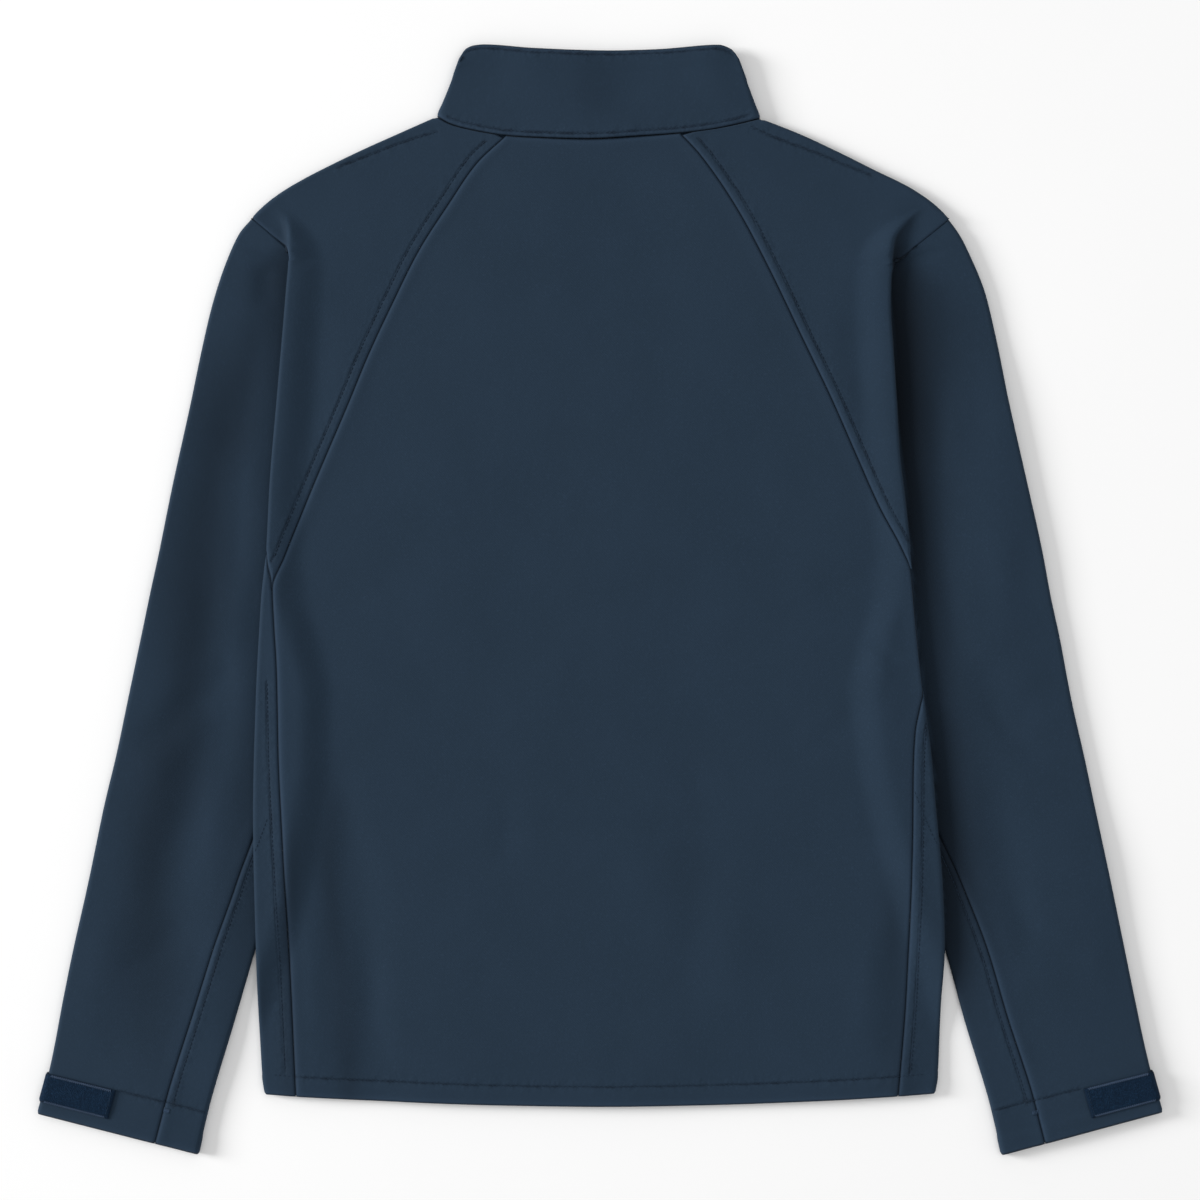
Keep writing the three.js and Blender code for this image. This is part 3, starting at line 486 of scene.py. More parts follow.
def backCentre():
    low, high = curve(hemLine, 0), curve(neckSeam, 0)
    rows = []
    for level in crowd(low, high, 230):
        share = (level - low) / (high - low)

        def height(x):
            return mix(curve(hemLine, x), curve(neckSeam, x) - jacket["seam"], share)

        halves = {}
        for side in sides:
            sign = signs[side]
            end = 100.0
            for _ in range(10):
                end = beside(backSeams[side], height(sign * end), -jacket["seam"])
            edge = edgeAt(side, height(sign * end))
            end = min(end, edge - 0.5)
            x = edge - acrossFold(edge, edge - end, backHalf)
            y = height(sign * x)
            halves[side] = backPoints(side, y, edgeAt(side, y) - x)
        rows.append(joined(halves))
    return np.array(rows)


def neckReach(side, y):
    x = np.linspace(0, neckEnds[side], 500)
    return np.interp(y, curve(neckSeam, signs[side] * x), x)


def sideSeam(side, y):
    armpit = armpits[side]
    if y > armpit["merge"]:
        return armpitSeamReach * smooth(armpit["panelTop"], armpit["merge"], y)
    return max(edgeAt(side, y) - curve(backSeams[side], y), 0)


def backShoulder(side):
    armpit = armpits[side]
    rows = []
    for y in crowd(neckEndY[side] - 0.7, armpit["tip"], 150):
        start = max(neckReach(side, y + 0.3), beside(backSeams[side], y, jacket["seam"]))
        innerEnd = edgeAt(side, y) - start
        under = -curve(turnedUnder, y)
        if y < armpit["panelTop"]:
            under = sideSeam(side, y) + jacket["seam"]
        outerEnd = min(under, innerEnd - 0.4)
        foldIn = max(edgeAt(side, y) - curve(foldLines[side], y), 0)
        creaseLow, creaseHigh = softCreaseLevels
        features = (0, rolled(foldIn, jacket["bodyFold"]) if creaseLow < y < creaseHigh else 0)
        rows.append(backPoints(side, y, acrossFold(innerEnd, outerEnd, 64, features=features)))
    return np.array(rows)


def sidePanel(side):
    return bendToHem(np.array([
        backPoints(side, y, acrossFold(sideSeam(side, y) - jacket["seam"], -curve(sideUnderneath, y), 34))
        for y in crowd(armpits[side]["panelTop"], hemLine[0][1], 150)
    ]))


frontGaps = dict(side=0.03, sleeve=0.4, neck=0.3)
front = dict(
    armpit=(-4, 32),  # above these levels no sleeve lies between it and the floor
    shoulder=(284, 292),
    shoulderDrop=0.9,
)


def overZip(x, rise):
    return rise * (1 - smooth(jacket["zipOpening"], jacket["zipRiseWidth"], np.abs(x)))


def frontUnderside(side, x, y):
    inward = edgeAt(side, y) - np.abs(x)
    rise = overZip(x, jacket["zipRise"])
    flat = np.maximum(sleeveLift(inward, y) * (1 - smooth(*front["armpit"], y)), rise)
    around = mix(1, roundness(inward, curve(edgeRounds, y)), smooth(*front["shoulder"], y))
    return mix(jacket["shoulderSeam"] - front["shoulderDrop"], flat, around)


def frontReach(side, y, hole):
    # out to the side panel, to the sleeve's hole, or above that to the shoulder
    top = hole[-1]
    sideEdge = edgeAt(side, y) - curve(sideUnderneath, y) - frontGaps["side"]
    if y < hole[0][0]:
        return sideEdge
    if y > top[0]:
        corner = next(row for row in edges[side] if row[0] < top[0] + 12)
        straight = mix(top[1], corner[1], (y - top[0]) / (corner[0] - top[0]))
        return (edgeAt(side, y) if y > corner[0] else straight) - frontGaps["neck"]
    return min(np.interp(y, *np.array(hole).T) - frontGaps["sleeve"], sideEdge)


def frontPanel(side):
    hole = [(row[3], row[2]) for row in sleeveTable(side, np.linspace(0, armpitRow, 90))][::-1]
    neckLow = jacket["frontNeckLow"]
    rise = neckEndY[side] - neckLow
    besideNeck = neckLow + rise * np.linspace(0.1, 0.985, 40) ** 2 - frontGaps["neck"]
    rows = []
    for y in [*crowd(hemLine[0][1], neckLow, 120)[:-1], *besideNeck]:
        share = max((y + frontGaps["neck"] - neckLow) / rise, 0)
        inner = max(jacket["zipOpening"], neckEnds[side] * math.sqrt(share))
        outer = max(frontReach(side, y, hole), inner + 0.6)
        x = crowd(inner, outer, 60, features=(jacket["zipRiseWidth"],), coarse=6)
        rows.append(np.stack([signs[side] * x, y + 0 * x, frontUnderside(side, x, y + 0 * x)], -1))
    return bendToHem(np.array(rows))


# Sleeves

def sleeveTable(side, at):
    table = np.array(sleeveRows[side])
    places = np.arange(len(table))
    return np.stack([curve(list(zip(places, column)), at) for column in table.T], -1)


cuffTurn = dict(rows=(15.4, 15.95), across=(0.6, 0.85))  # where the tab beneath lifts the sleeve


def sleevePoints(side, at, inward):
    ox, oy, ix, iy, _ = sleeveTable(side, at)
    width = math.hypot(ox - ix, oy - iy)
    away = np.abs(inward)
    share = away / width
    x, y = mix(ox, ix, share), mix(oy, iy, share)
    free = smooth(*jacket["sleeveFree"], x - edgeAt(side, y))
    free = np.maximum(free, smooth(*jacket["sleeveTop"], y))
    top = mix(jacket["sleeveUnderBody"], jacket["sleeveHeight"], free)
    cuff = jacket["cuffRise"] * smooth(*cuffTurn["rows"], at) * (1 - smooth(*cuffTurn["across"], share))
    flat = np.where(inward >= 0, top + cuff / 2, cuff)
    fold = jacket["sleeveFold"]
    around = roundness(away, fold)
    if at >= armpitRow:
        around = np.minimum(around, roundness(width - away, fold))
    return np.stack([signs[side] * x, y, mix(fold + 0.75 * cuff, flat, around)], -1)


def sleeveWidth(row):
    return math.hypot(row[0] - row[2], row[1] - row[3])


# On top, two more rows run in under the shoulder panel: how far, and how deep
capTongue = dict(onTop=(2.6, 4.5), rows=((2.4, 1.7), (1.1, 1.3)))


def sleeveUpper(side):
    rows = []
    for at in [*crowd(0, armpitRow, 90, coarse=0.1, fine=0.02), *np.linspace(armpitRow, lastRow, 140)[1:]]:
        row = sleeveTable(side, at)
        width, inset = sleeveWidth(row), jacket["seam"] if row[4] > 0 else 0
        across = acrossFold(width - row[4] - inset, -(width - row[4] * seamBeneath - inset), 78,
                            radius=jacket["sleeveFold"], coarse=4)
        rows.append(sleevePoints(side, at, across))
    grid = np.array(rows)
    toCap = grid[0] - grid[3]
    toCap /= np.linalg.norm(toCap, axis=-1, keepdims=True)
    onTop = smooth(*capTongue["onTop"], grid[0][:, 2:])
    tongue = [grid[0] + onTop * (toCap * reach - (0, 0, sink)) for reach, sink in capTongue["rows"]]
    return np.concatenate([tongue, grid])


def sleeveUnder(side):
    rows = []
    for at in np.linspace(armpitRow + 0.6, lastRow, 140):
        row = sleeveTable(side, at)
        width, inset = sleeveWidth(row), jacket["seam"]
        across = acrossFold(row[4] - inset, inset - row[4] * seamBeneath, 34, radius=jacket["sleeveFold"])
        rows.append(sleevePoints(side, at, np.where(across < 0, -1, 1) * (width - np.abs(across))))
    return np.array(rows)


patch = dict(begins=0.09, ends=0.72, inward=52, under=-9, thickness=1.2, gap=0.25)
tab = dict(begins=0.06, ends=0.68, near=11, far=64)


def cuffPatch(side):
    across = acrossFold(patch["inward"], patch["under"], 80, radius=jacket["sleeveFold"], coarse=0.9)
    shares = np.linspace(patch["begins"], patch["ends"], 34)
    grid = np.array([sleevePoints(side, lastRow - 1 + share, across) for share in shares])
    normal = faceNormals(grid)
    outward = np.sign(normal[17, 5, 2])
    return grid + outward * normal * (patch["thickness"] + patch["gap"])


def cuffTab(side):
    across = -crowd(tab["near"], tab["far"], 40, coarse=1.6)
    shares = np.linspace(tab["begins"], tab["ends"], 16)
    grid = np.array([sleevePoints(side, lastRow - 1 + share, across) for share in shares])
    grid[..., 2] = floorGap
    return grid


# Collar

def collarPoints(side, inward, share):
    end = neckEnds[side]
    part = 1 - np.abs(inward) / end
    lowX, highX = signs[side] * end * part, signs[side] * collarEnds[side] * part
    onBack = inward >= 0
    frontNeck = mix(jacket["frontNeckLow"], neckEndY[side], (np.abs(lowX) / end) ** 2)
    lowY = np.where(onBack, curve(neckSeam, lowX), frontNeck) + 0.15
    topY = curve(collarTop, highX)
    drop = (curve(collarTop, 0) - jacket["frontCollarTop"]) * (1 - part ** 2)
    x, y = mix(lowX, highX, share), mix(lowY, np.where(onBack, topY, topY - drop), share)
    height = jacket["collarHeight"] + jacket["collarMiddle"] * (
        1 - smooth(*jacket["collarMiddleWidth"], np.abs(x)))
    flat = np.where(onBack, height, overZip(x, jacket["collarZipRise"]))
    fold = jacket["collarFold"]
    return np.stack([x, y, mix(fold, flat, roundness(np.abs(inward), fold))], -1)


def collarHalves():
    rows = []
    for share in crowd(0, 60, 34, fine=0.5, coarse=2.5) / 60:
        halves = {}
        for side in sides:
            end = neckEnds[side]
            opening = jacket["zipOpening"] * end / mix(end, collarEnds[side], share)
            across = acrossFold(end, opening - end, collarHalf, radius=jacket["collarFold"], coarse=3)
            halves[side] = collarPoints(side, across, share)
        rows.append(joined(halves))
    return np.array(rows)


# Materials

class Value:
    # a shader socket that Python's operators work on
    def __init__(self, look, socket):
        self.look = look
        self.socket = socket

    def maths(self, operation, *values):
        return self.look.add("ShaderNodeMath", dict(operation=operation), dict(enumerate(values)))

    def __add__(self, other):
        return self.maths("ADD", self, other)

    def __sub__(self, other):
        return self.maths("SUBTRACT", self, other)

    def __rsub__(self, other):
        return self.maths("SUBTRACT", other, self)

    def __mul__(self, other):
        return self.maths("MULTIPLY", self, other)

    __radd__ = __add__
    __rmul__ = __mul__

    def sine(self):
        return self.maths("SINE", self)

    def clamped(self):
        return self.look.add("ShaderNodeClamp", {}, {0: self})

    def peak(self, width):
        # 1 at zero, falling off softly over the width
        share = self * (1 / width)
        return self.maths("POWER", math.e, share * share * -1)

    def ramp(self, low, high):
        return self.look.add("ShaderNodeMapRange", dict(interpolation_type="SMOOTHSTEP"),
                             {0: self, 1: low, 2: high, 3: 0.0, 4: 1.0})


class Look:
    # one material and its nodes
    def __init__(self, name, **constants):
        self.material = bpy.data.materials.new(name)
        self.material.use_nodes = True
        self.tree = self.material.node_tree
        self.shader = self.tree.nodes["Principled BSDF"]
        for socket, value in constants.items():
            self.shader.inputs[socket.replace("_", " ")].default_value = value
        # object coordinates in millimetres
        here = self.add("ShaderNodeTexCoord", {}, {}, "Object")
        self.here = self.add("ShaderNodeVectorMath", dict(operation="SCALE"), {0: here, "Scale": 1 / mm})
        self.x, self.y, self.z = [
            self.add("ShaderNodeSeparateXYZ", {}, {0: self.here}, axis) for axis in "XYZ"
        ]

    def add(self, kind, settings, values, output=0):
        node = self.tree.nodes.new(kind)
        for name, setting in settings.items():
            setattr(node, name, setting)
        for name, value in values.items():
            if isinstance(value, Value):
                self.tree.links.new(value.socket, node.inputs[name])
            else:
                node.inputs[name].default_value = value
        return Value(self, node.outputs[output])

    def feed(self, socket, value):
        self.tree.links.new(value.socket, self.shader.inputs[socket])

    def attribute(self, name):
        return self.add("ShaderNodeAttribute", dict(attribute_name=name), {}, "Fac")

    def noise(self, size, detail=3.0, roughness=0.55):
        # from 0 to 1, with features of this size in millimetres
        return self.add("ShaderNodeTexNoise", {}, {
            "Vector": self.here, "Scale": 1 / size, "Detail": detail, "Roughness": roughness,
        })

    def blend(self, share, first, second):
        return self.add("ShaderNodeMix", dict(data_type="RGBA"), {0: share, 6: first, 7: second}, 2)

    def finished(self, colour, roughness=None, relief=None, strength=1.0):
        # relief in millimetres
        self.feed("Base Color", colour)
        if roughness:
            self.feed("Roughness", roughness)
        if relief:
            bump = {"Strength": strength, "Distance": mm, "Height": relief}
            self.feed("Normal", self.add("ShaderNodeBump", {}, bump))
        return self.material


def colour(red, green, blue):
    # from the screen's 0 to 255
    channels = [c / 255 for c in (red, green, blue)]
    return (*[c / 12.92 if c < 0.0405 else ((c + 0.055) / 1.055) ** 2.4 for c in channels], 1)


softshellLook = dict(
    base=colour(36, 52, 69), pale=colour(44, 61, 80), deep=colour(28, 43, 57),
    # shadow is the dark colour of the painted shade
    shadow=colour(3, 9, 17), seamDark=colour(8, 16, 27),
    yarn=0.95, ribDepth=0.035,  # width and depth of a rib of the weave
    fleck=1.7, fleckDepth=0.09,
    cloud=55, cloudDepth=0.9,  # slow unevenness
    groove=1.15, grooveDepth=0.5,  # where the topstitch sinks in
    gather=7, pucker=1.1, puckerWidth=6,
    dentPace=3.3, dentDepth=0.07, dentWidth=1.6,
    seam=0.9, seamDepth=0.3,
    roughness=0.8,
)


def makeSoftshell():
    look = Look("softshell", Specular_IOR_Level=0.1, Sheen_Weight=0.02, Sheen_Roughness=0.5)
    of = softshellLook
    x, y = look.x, look.y
    pace = math.tau / of["yarn"]
    ribs = (x * pace).sine() * (y * pace).sine() + 0.5 * ((x + y) * (pace * 0.5)).sine()
    fleck = look.noise(of["fleck"], 2.0, 0.7) - 0.5
    cloud = look.noise(of["cloud"]) - 0.5
    gather = look.noise(of["gather"], 2.0)
    seam = look.attribute("seamAway")
    stitch = look.attribute("stitchAway")
    along = look.attribute("stitchAlong")
    groove = stitch.peak(of["groove"])
    pucker = stitch.peak(of["puckerWidth"]) * (gather - 0.5) * of["pucker"]
    dents = (along * (math.tau / of["dentPace"])).sine() * stitch.peak(of["dentWidth"]) * of["dentDepth"]
    relief = (ribs * of["ribDepth"] + fleck * of["fleckDepth"] + cloud * of["cloudDepth"]
              - groove * of["grooveDepth"] + pucker + dents - seam.peak(of["seam"]) * of["seamDepth"])
    # a paler band beside the seams and hems, and paler flecks
    paleBesideSeam = seam.peak(3.2) * (1 - seam.peak(0.8))
    shade = (fleck * 0.55 + cloud * 0.5 + paleBesideSeam * 0.22 + 0.45).clamped()
    plain = look.blend(shade, of["deep"], of["base"])
    paleShare = (paleBesideSeam * 0.35 + (fleck - 0.05).ramp(0, 0.25) * 0.3).clamped()
    paled = look.blend(paleShare, plain, of["pale"])
    lines = (seam.peak(0.6) * 0.6 + groove * (0.12 + gather.ramp(0.36, 0.68) * 0.6)).clamped()
    grooved = look.blend(lines, paled, of["seamDark"])
    # painted shade: where the attribute says, the colour is blended towards the dark shadow colour
    colours = look.blend(look.attribute("paintedShade"), grooved, of["shadow"])
    return look.finished(colours, of["roughness"] + fleck * 0.16, relief, 0.9)


def makeLoopPile():
    look = Look("loopPile", Specular_IOR_Level=0.05, Sheen_Weight=0.02, Sheen_Roughness=0.6, Roughness=0.96)
    cells = {"Vector": look.here, "Scale": 1 / 0.75, "Randomness": 1.0}
    loops = look.add("ShaderNodeTexVoronoi", dict(feature="F1"), cells)
    tufts = look.noise(2.6, 4.0, 0.75)
    seam = look.attribute("seamAway")
    shade = ((loops - 0.35) * 0.9 + (tufts - 0.5) * 0.9 + 0.25).clamped()
    fuzzy = look.blend(shade, colour(6, 20, 36), colour(24, 47, 70))
    edged = look.blend(seam.peak(1.6), fuzzy, colour(15, 31, 48))
    return look.finished(edged, relief=(1 - loops) * 0.5 + tufts * 0.9 - seam.peak(1.2) * 0.4)


def makeThread(name, dark, light):
    look = Look(name, Specular_IOR_Level=0.12)
    twist = ((look.x + look.y * 0.7 + look.z) * (math.tau / 0.42)).sine()
    shade = (twist * 0.35 + look.noise(0.8) * 0.6).clamped()
    return look.finished(look.blend(shade, dark, light), 0.62 + twist * 0.08, twist * 0.05, 0.8)


def makeZipTape():
    look = Look("zipTape", Specular_IOR_Level=0.2, Sheen_Weight=0.1)
    weave = (look.x * (math.tau / 0.6)).sine() * (look.y * (math.tau / 0.5)).sine()
    woven = look.blend((weave * 0.3 + 0.4).clamped(), colour(14, 18, 25), colour(31, 38, 49))
    return look.finished(woven, 0.85 + weave * 0.05, weave * 0.05 + look.noise(1.2) * 0.04)


def makeToothPlastic():
    look = Look("toothPlastic", Specular_IOR_Level=0.5)
    scuffs = look.noise(0.9, 4.0, 0.7)
    scuffed = look.blend(scuffs.ramp(0.5, 0.75), colour(17, 20, 26), colour(38, 43, 52))
    return look.finished(scuffed, 0.38 + scuffs * 0.2, scuffs * 0.03)


def makeLacquer():
    look = Look("lacquer", Metallic=0.55, Specular_IOR_Level=0.5, Coat_Weight=0.25, Coat_Roughness=0.2)
    grain = look.noise(0.5, 4.0, 0.7)
    rubbed = look.noise(1.9, 3.0, 0.6).ramp(0.58, 0.72)
    painted = look.blend(rubbed * 0.6, colour(24, 30, 39), colour(92, 98, 106))
    return look.finished(painted, 0.34 + grain * 0.22, grain * 0.02)


def makeFloor():
    look = Look("paleFloor", Specular_IOR_Level=0.1, Roughness=0.9)
    return look.finished(look.blend(look.noise(300), (0.86, 0.86, 0.86, 1), (0.88, 0.88, 0.88, 1)))


softshell = makeSoftshell()
loopPile = makeLoopPile()
thread = makeThread("thread", colour(20, 33, 47), colour(42, 61, 81))
bartackThread = makeThread("bartackThread", colour(38, 55, 75), colour(60, 79, 102))
patchThread = makeThread("patchThread", colour(54, 71, 95), colour(90, 108, 132))
zipTape = makeZipTape()
toothPlastic = makeToothPlastic()
lacquer = makeLacquer()
print("materials made")


# Meshes

def makeObject(name, points, faces, material, shaded=True):
    mesh = bpy.data.meshes.new(name)
    mesh.from_pydata((np.asarray(points) * mm).tolist(), [], faces)
    mesh.polygons.foreach_set("use_smooth", [shaded] * len(mesh.polygons))
    mesh.materials.append(material)
    mesh.update()
    piece = bpy.data.objects.new(name, mesh)
    bpy.context.scene.collection.objects.link(piece)
    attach(piece, "jacket")
    return piece


def addBar(points, faces, rings):
    # a closed bar through rings of points, taken in the order in which its faces look outward
    rings = np.asarray(rings, float)
    around = np.cross(rings[1][1] - rings[1][0], rings[1][2] - rings[1][1])
    if around @ (rings[-1].mean(0) - rings[0].mean(0)) < 0:
        rings = rings[::-1]
    first, count = len(points), len(rings[0])
    for ring in rings:
        points.extend(ring)
    last = len(points) - count
    for low in range(first, last, count):
        for k in range(count):
            following = (k + 1) % count
            faces.append([low + k, low + following, low + count + following, low + count + k])
    faces.append([first + k for k in range(count)][::-1])
    faces.append([last + k for k in range(count)])


def threadRing(centre, radius, sideways):
    turns = math.tau * np.arange(6)[:, None] / 6
    return centre + radius * (np.cos(turns) * sideways + np.sin(turns) * (0, 0, 1))


def shell(name, grid, thickness, material, marks):
    # a closed wall: the outer face, the same moved in by the thickness, and rims joining the two
    normal = faceNormals(grid)
    rows, columns = grid.shape[:2]
    inner = grid - normal * thickness
    inner[..., 2] = np.maximum(inner[..., 2], floorGap)
    count = rows * columns
    points = np.concatenate([grid.reshape(-1, 3), inner.reshape(-1, 3)])
    at = np.arange(count).reshape(rows, columns)
    quads = np.stack([at[:-1, :-1], at[:-1, 1:], at[1:, 1:], at[1:, :-1]], -1).reshape(-1, 4)
    rim = np.concatenate([at[0, :], at[1:, -1], at[-1, -2::-1], at[-2:0:-1, 0]])
    following = np.roll(rim, -1)
    sideFaces = np.stack([rim, rim + count, following + count, following], -1)
    faces = np.concatenate([quads, quads[:, ::-1] + count, sideFaces])
    piece = makeObject(name, points, faces.tolist(), material)
    for mark, values in marks.items():
        attribute = piece.data.attributes.new(mark, "FLOAT", "POINT")
        attribute.data.foreach_set("value", np.tile(values.ravel(), 2).astype(np.float32))
    return piece


def flatCut(grid):
    across, along = spacing(grid)
    spans = np.cross(grid[1:, 1:] - grid[:-1, :-1], grid[1:, :-1] - grid[:-1, 1:])
    size = (across.sum(1).max() * mm, along.sum(0).max() * mm)
    return size, float(np.linalg.norm(spans, axis=-1).sum() / 2 * mm * mm)


# Topstitch lines, each a line of points on the part as seen from above or below

def onSleeve(side, row, share):
    # share of the way from the outer fold to the inner one
    return signs[side] * mix(row[0], row[2], share), mix(row[1], row[3], share)


def sleeveLine(side, at, fromInner):
    # along the sleeve at a distance from its inner fold
    rows = [sleeveTable(side, place) for place in at]
    return np.array([
        onSleeve(side, row, 1 - distance / sleeveWidth(row)) for row, distance in zip(rows, fromInner)
    ])


def acrossCuff(side, place, begins, ends, count=40):
    row = sleeveTable(side, place)
    return np.array([onSleeve(side, row, share) for share in np.linspace(begins, ends, count)])


topstitch = dict(
    raglan=7.0,  # beside the raglan seam, on the shoulder panel
    neck=3.5,  # on the collar, above its seam
    collarEdge=3.0,
    hem=15.0,
    side=7.4,
    sleeve=5.6,
    cuff=32,
    patch=1.0,
    zip=6,  # beside the opening, through the tape
)
cuffRowLong = 35  # between the last two rows of a sleeve
shoulderStitch = dict(
    left=[(-120.4, 346.7), (-145.6, 338.6), (-176.6, 326.7), (-193.7, 320)],
    right=[(112.7, 349.7), (133.4, 340.8), (159.3, 331.2), (183, 321.5), (201.5, 314.1)],
)


stitchStarts = dict(  # level on the side panel, row of the sleeve
    left=dict(side=-60, sleeve=12.2),
    right=dict(side=-84, sleeve=11.6),
)


def besideBackSeam(side, start, end, count, distance):
    y = np.linspace(start, end, count)
    return np.stack([signs[side] * beside(backSeams[side], y, distance), y], -1)


def alongCurve(rows, start, end, count, rise=0.0, squeeze=1.0):
    x = np.linspace(start, end, count)
    return np.stack([x * squeeze, curve(rows, x) + rise], -1)


def stitchLines():
    lines = {}
    for side in sides:
        starts = stitchStarts[side]
        high, low = backSeams[side][0][0] - 4, armpits[side]["tip"] + 20
        lines[f"raglan_{side}"] = besideBackSeam(side, high, low, 160, topstitch["raglan"])
        lines[f"side_{side}"] = besideBackSeam(side, starts["side"], -350, 120, topstitch["side"])
        points = shoulderStitch[side]
        lines[f"shoulder_{side}"] = alongCurve(points, points[0][0], points[-1][0], 90)
        at = np.linspace(starts["sleeve"], 16.12, 120)
        seamIn = np.array([sleeveTable(side, place)[4] for place in at])
        lines[f"sleeve_{side}"] = sleeveLine(side, at, seamIn - topstitch["sleeve"])
        lines[f"cuff_{side}"] = acrossCuff(side, lastRow - topstitch["cuff"] / cuffRowLong, 0.44, 0.985)
    lines["neck"] = alongCurve(neckSeam, -114, 112, 160, topstitch["neck"], 0.985)
    lines["collar_edge"] = alongCurve(collarTop, -99, 98.5, 160, -topstitch["collarEdge"])
    lines["hem"] = alongCurve(hemLine, -243, 243, 260, topstitch["hem"])
    return lines


def lineMarks(grid, lines):
    # distance from the nearest topstitch line, and the place along it
    away = np.full(grid.shape[:2], farAway)
    along = np.zeros_like(away)
    for line in lines:
        distance, place = alongLine(grid[..., 0], grid[..., 1], line, reach=20)
        closer = distance < away
        away = np.where(closer, distance, away)
        along = np.where(closer, place, along)
    return away, along


lines = stitchLines()
clothPieces = []


def makePanel(name, grid, borders=(), hems=(), column=0, up=True, creases=(), weight=1.0, stitched=(),
              thickness=jacket["cloth"], material=softshell, slot="softshell", restsOn=()):
    # the rows are turned over where needed, so that the outer face's normals point out; column is one
    # that faces up, or down where up is False
    swapped = dict(first="last", last="first")
    if (faceNormals(grid)[grid.shape[0] // 2, column, 2] > 0) != up:
        grid = grid[::-1]
        weight = weight[::-1] if np.ndim(weight) else weight
        borders = [swapped.get(b, b) for b in borders]
        hems = [swapped.get(b, b) for b in hems]
    size, area = flatCut(grid)
    normal = faceNormals(grid)
    facesUp = smooth(0.35, 0.85, normal[..., 2])
    height = creased(grid[..., 0], grid[..., 1], creases) + rumpled(grid[..., 0], grid[..., 1])
    seamDistance = seamAway(grid, borders)
    hemDistance = seamAway(grid, hems)
    height = height * facesUp * weight
    height += sewing["swell"] * bell(seamDistance, sewing["swellAt"], sewing["swellWidth"])
    height -= sewing["dip"] * bell(seamDistance, 0, sewing["dipWidth"])
    height += sewing["hemSwell"] * (1 - smooth(*sewing["hemWidth"], hemDistance))
    height -= sewing["hemRound"] * bell(hemDistance, 0, sewing["hemRoundWidth"])
    stitchAway, stitchAlong = lineMarks(grid, [lines[line] for line in stitched])
    stitchAway = np.where(facesUp > 0.5, stitchAway, farAway)
    shaped = grid + normal * height[..., None]
    shaped[..., 2] = np.maximum(shaped[..., 2], 0)
    x, y = shaped[..., 0], shaped[..., 1]
    marks = dict(
        seamAway=np.minimum(seamDistance, hemDistance), stitchAway=stitchAway, stitchAlong=stitchAlong,
        # painted shade beside the body's edge and along the hollows, passed to the material
        paintedShade=np.maximum(paintedTuckShade(x, y), paintedHollowShade(x, y)),
    )
    piece = shell(f"{name}_cloth", shaped, thickness, material, marks)
    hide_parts(name)
    clothPieces.append(piece)
    print(f"{name}: cut {size[0] / mm:.0f} x {size[1] / mm:.0f} mm, {area * 1e4:.0f} square centimetres")


sewing = dict(
    dip=0.6, dipWidth=1.25,  # into the seam itself
    swell=0.22, swellAt=4.8, swellWidth=3.4,
    hemSwell=0.45, hemWidth=(11, 16),  # the hem's second layer
    hemRound=0.7, hemRoundWidth=1.1,
)


def makeSleeve(side, part, grid, **settings):
    clear = smooth(*jacket["sleeveClear"], np.abs(grid[..., 0]) - edgeAt(side, grid[..., 1]))
    makePanel(f"sleeve_{part}_{side}", grid, borders=["start", "end"], hems=["last"], weight=clear,
              creases=sleeveCreases[side], **settings)


for side in sides:
    cuffStitch, onFront = f"cuff_{side}", [f"front_{side}"]
    makePanel(f"front_{side}", frontPanel(side), borders=["end", "last"], hems=["first"],
              up=False, column=20)
    makeSleeve(side, "upper", sleeveUpper(side), stitched=[cuffStitch])
    makeSleeve(side, "under", sleeveUnder(side), stitched=[f"sleeve_{side}", cuffStitch],
               restsOn=[f"sleeve_upper_{side}"])
    makePanel(f"side_{side}", sidePanel(side), borders=["start", "end", "first"], hems=["last"],
              creases=bodyCreases, stitched=[f"side_{side}"], restsOn=onFront)
    makePanel(f"back_shoulder_{side}", backShoulder(side), borders=["start", "end", "first"],
              creases=bodyCreases, stitched=[f"raglan_{side}", f"shoulder_{side}"], restsOn=onFront)
makePanel("back_centre", backCentre(), borders=["start", "end", "last"], hems=["first"], column=backHalf,
          creases=bodyCreases, stitched=["hem"], restsOn=["front_left", "front_right"])
makePanel("collar", collarHalves(), borders=["first"], hems=["last"], column=collarHalf,
          creases=collarCreases, stitched=["neck", "collar_edge"], thickness=jacket["collarCloth"])
print("panels made")


# Cuff strips and tabs

for side in sides:
    makePanel(f"cuff_patch_{side}", cuffPatch(side), hems=["first", "last", "start", "end"], column=4,
              thickness=patch["thickness"], material=loopPile, slot="loop_tape",
              restsOn=[f"sleeve_upper_{side}"])
    makePanel(f"cuff_tab_{side}", cuffTab(side), hems=["first", "last", "start", "end"], up=False)
print("cuffs made")


# Sewing thread

stitch = dict(
    length=2.6, gap=0.7, radius=0.25,
    maxStep=0.7,  # a stitch isn't set where the cloth steps by more than this
    # place along the stitch, height over the cloth, share of the radius
    profile=[(-0.5, -0.3, 0.45), (-0.36, 0.04, 0.95), (0, 0.13, 1), (0.36, 0.04, 0.95), (0.5, -0.3, 0.45)],
)
zigzag = dict(radius=0.24, lift=0.18)


def clothTree():
    points, faces = [], []
    for piece in clothPieces:
        first = len(points)
        points.extend(vertex.co.copy() for vertex in piece.data.vertices)
        faces.extend([first + i for i in polygon.vertices] for polygon in piece.data.polygons)
    return BVHTree.FromPolygons(points, faces)


def touchDown(x, y, above=True):
    # height of the cloth here, seen from above or from below
    sign = 1 if above else -1
    place = tree.ray_cast(Vector((x * mm, y * mm, sign * 0.1)), Vector((0, 0, -sign)))[0]
    return None if place is None else place.z / mm


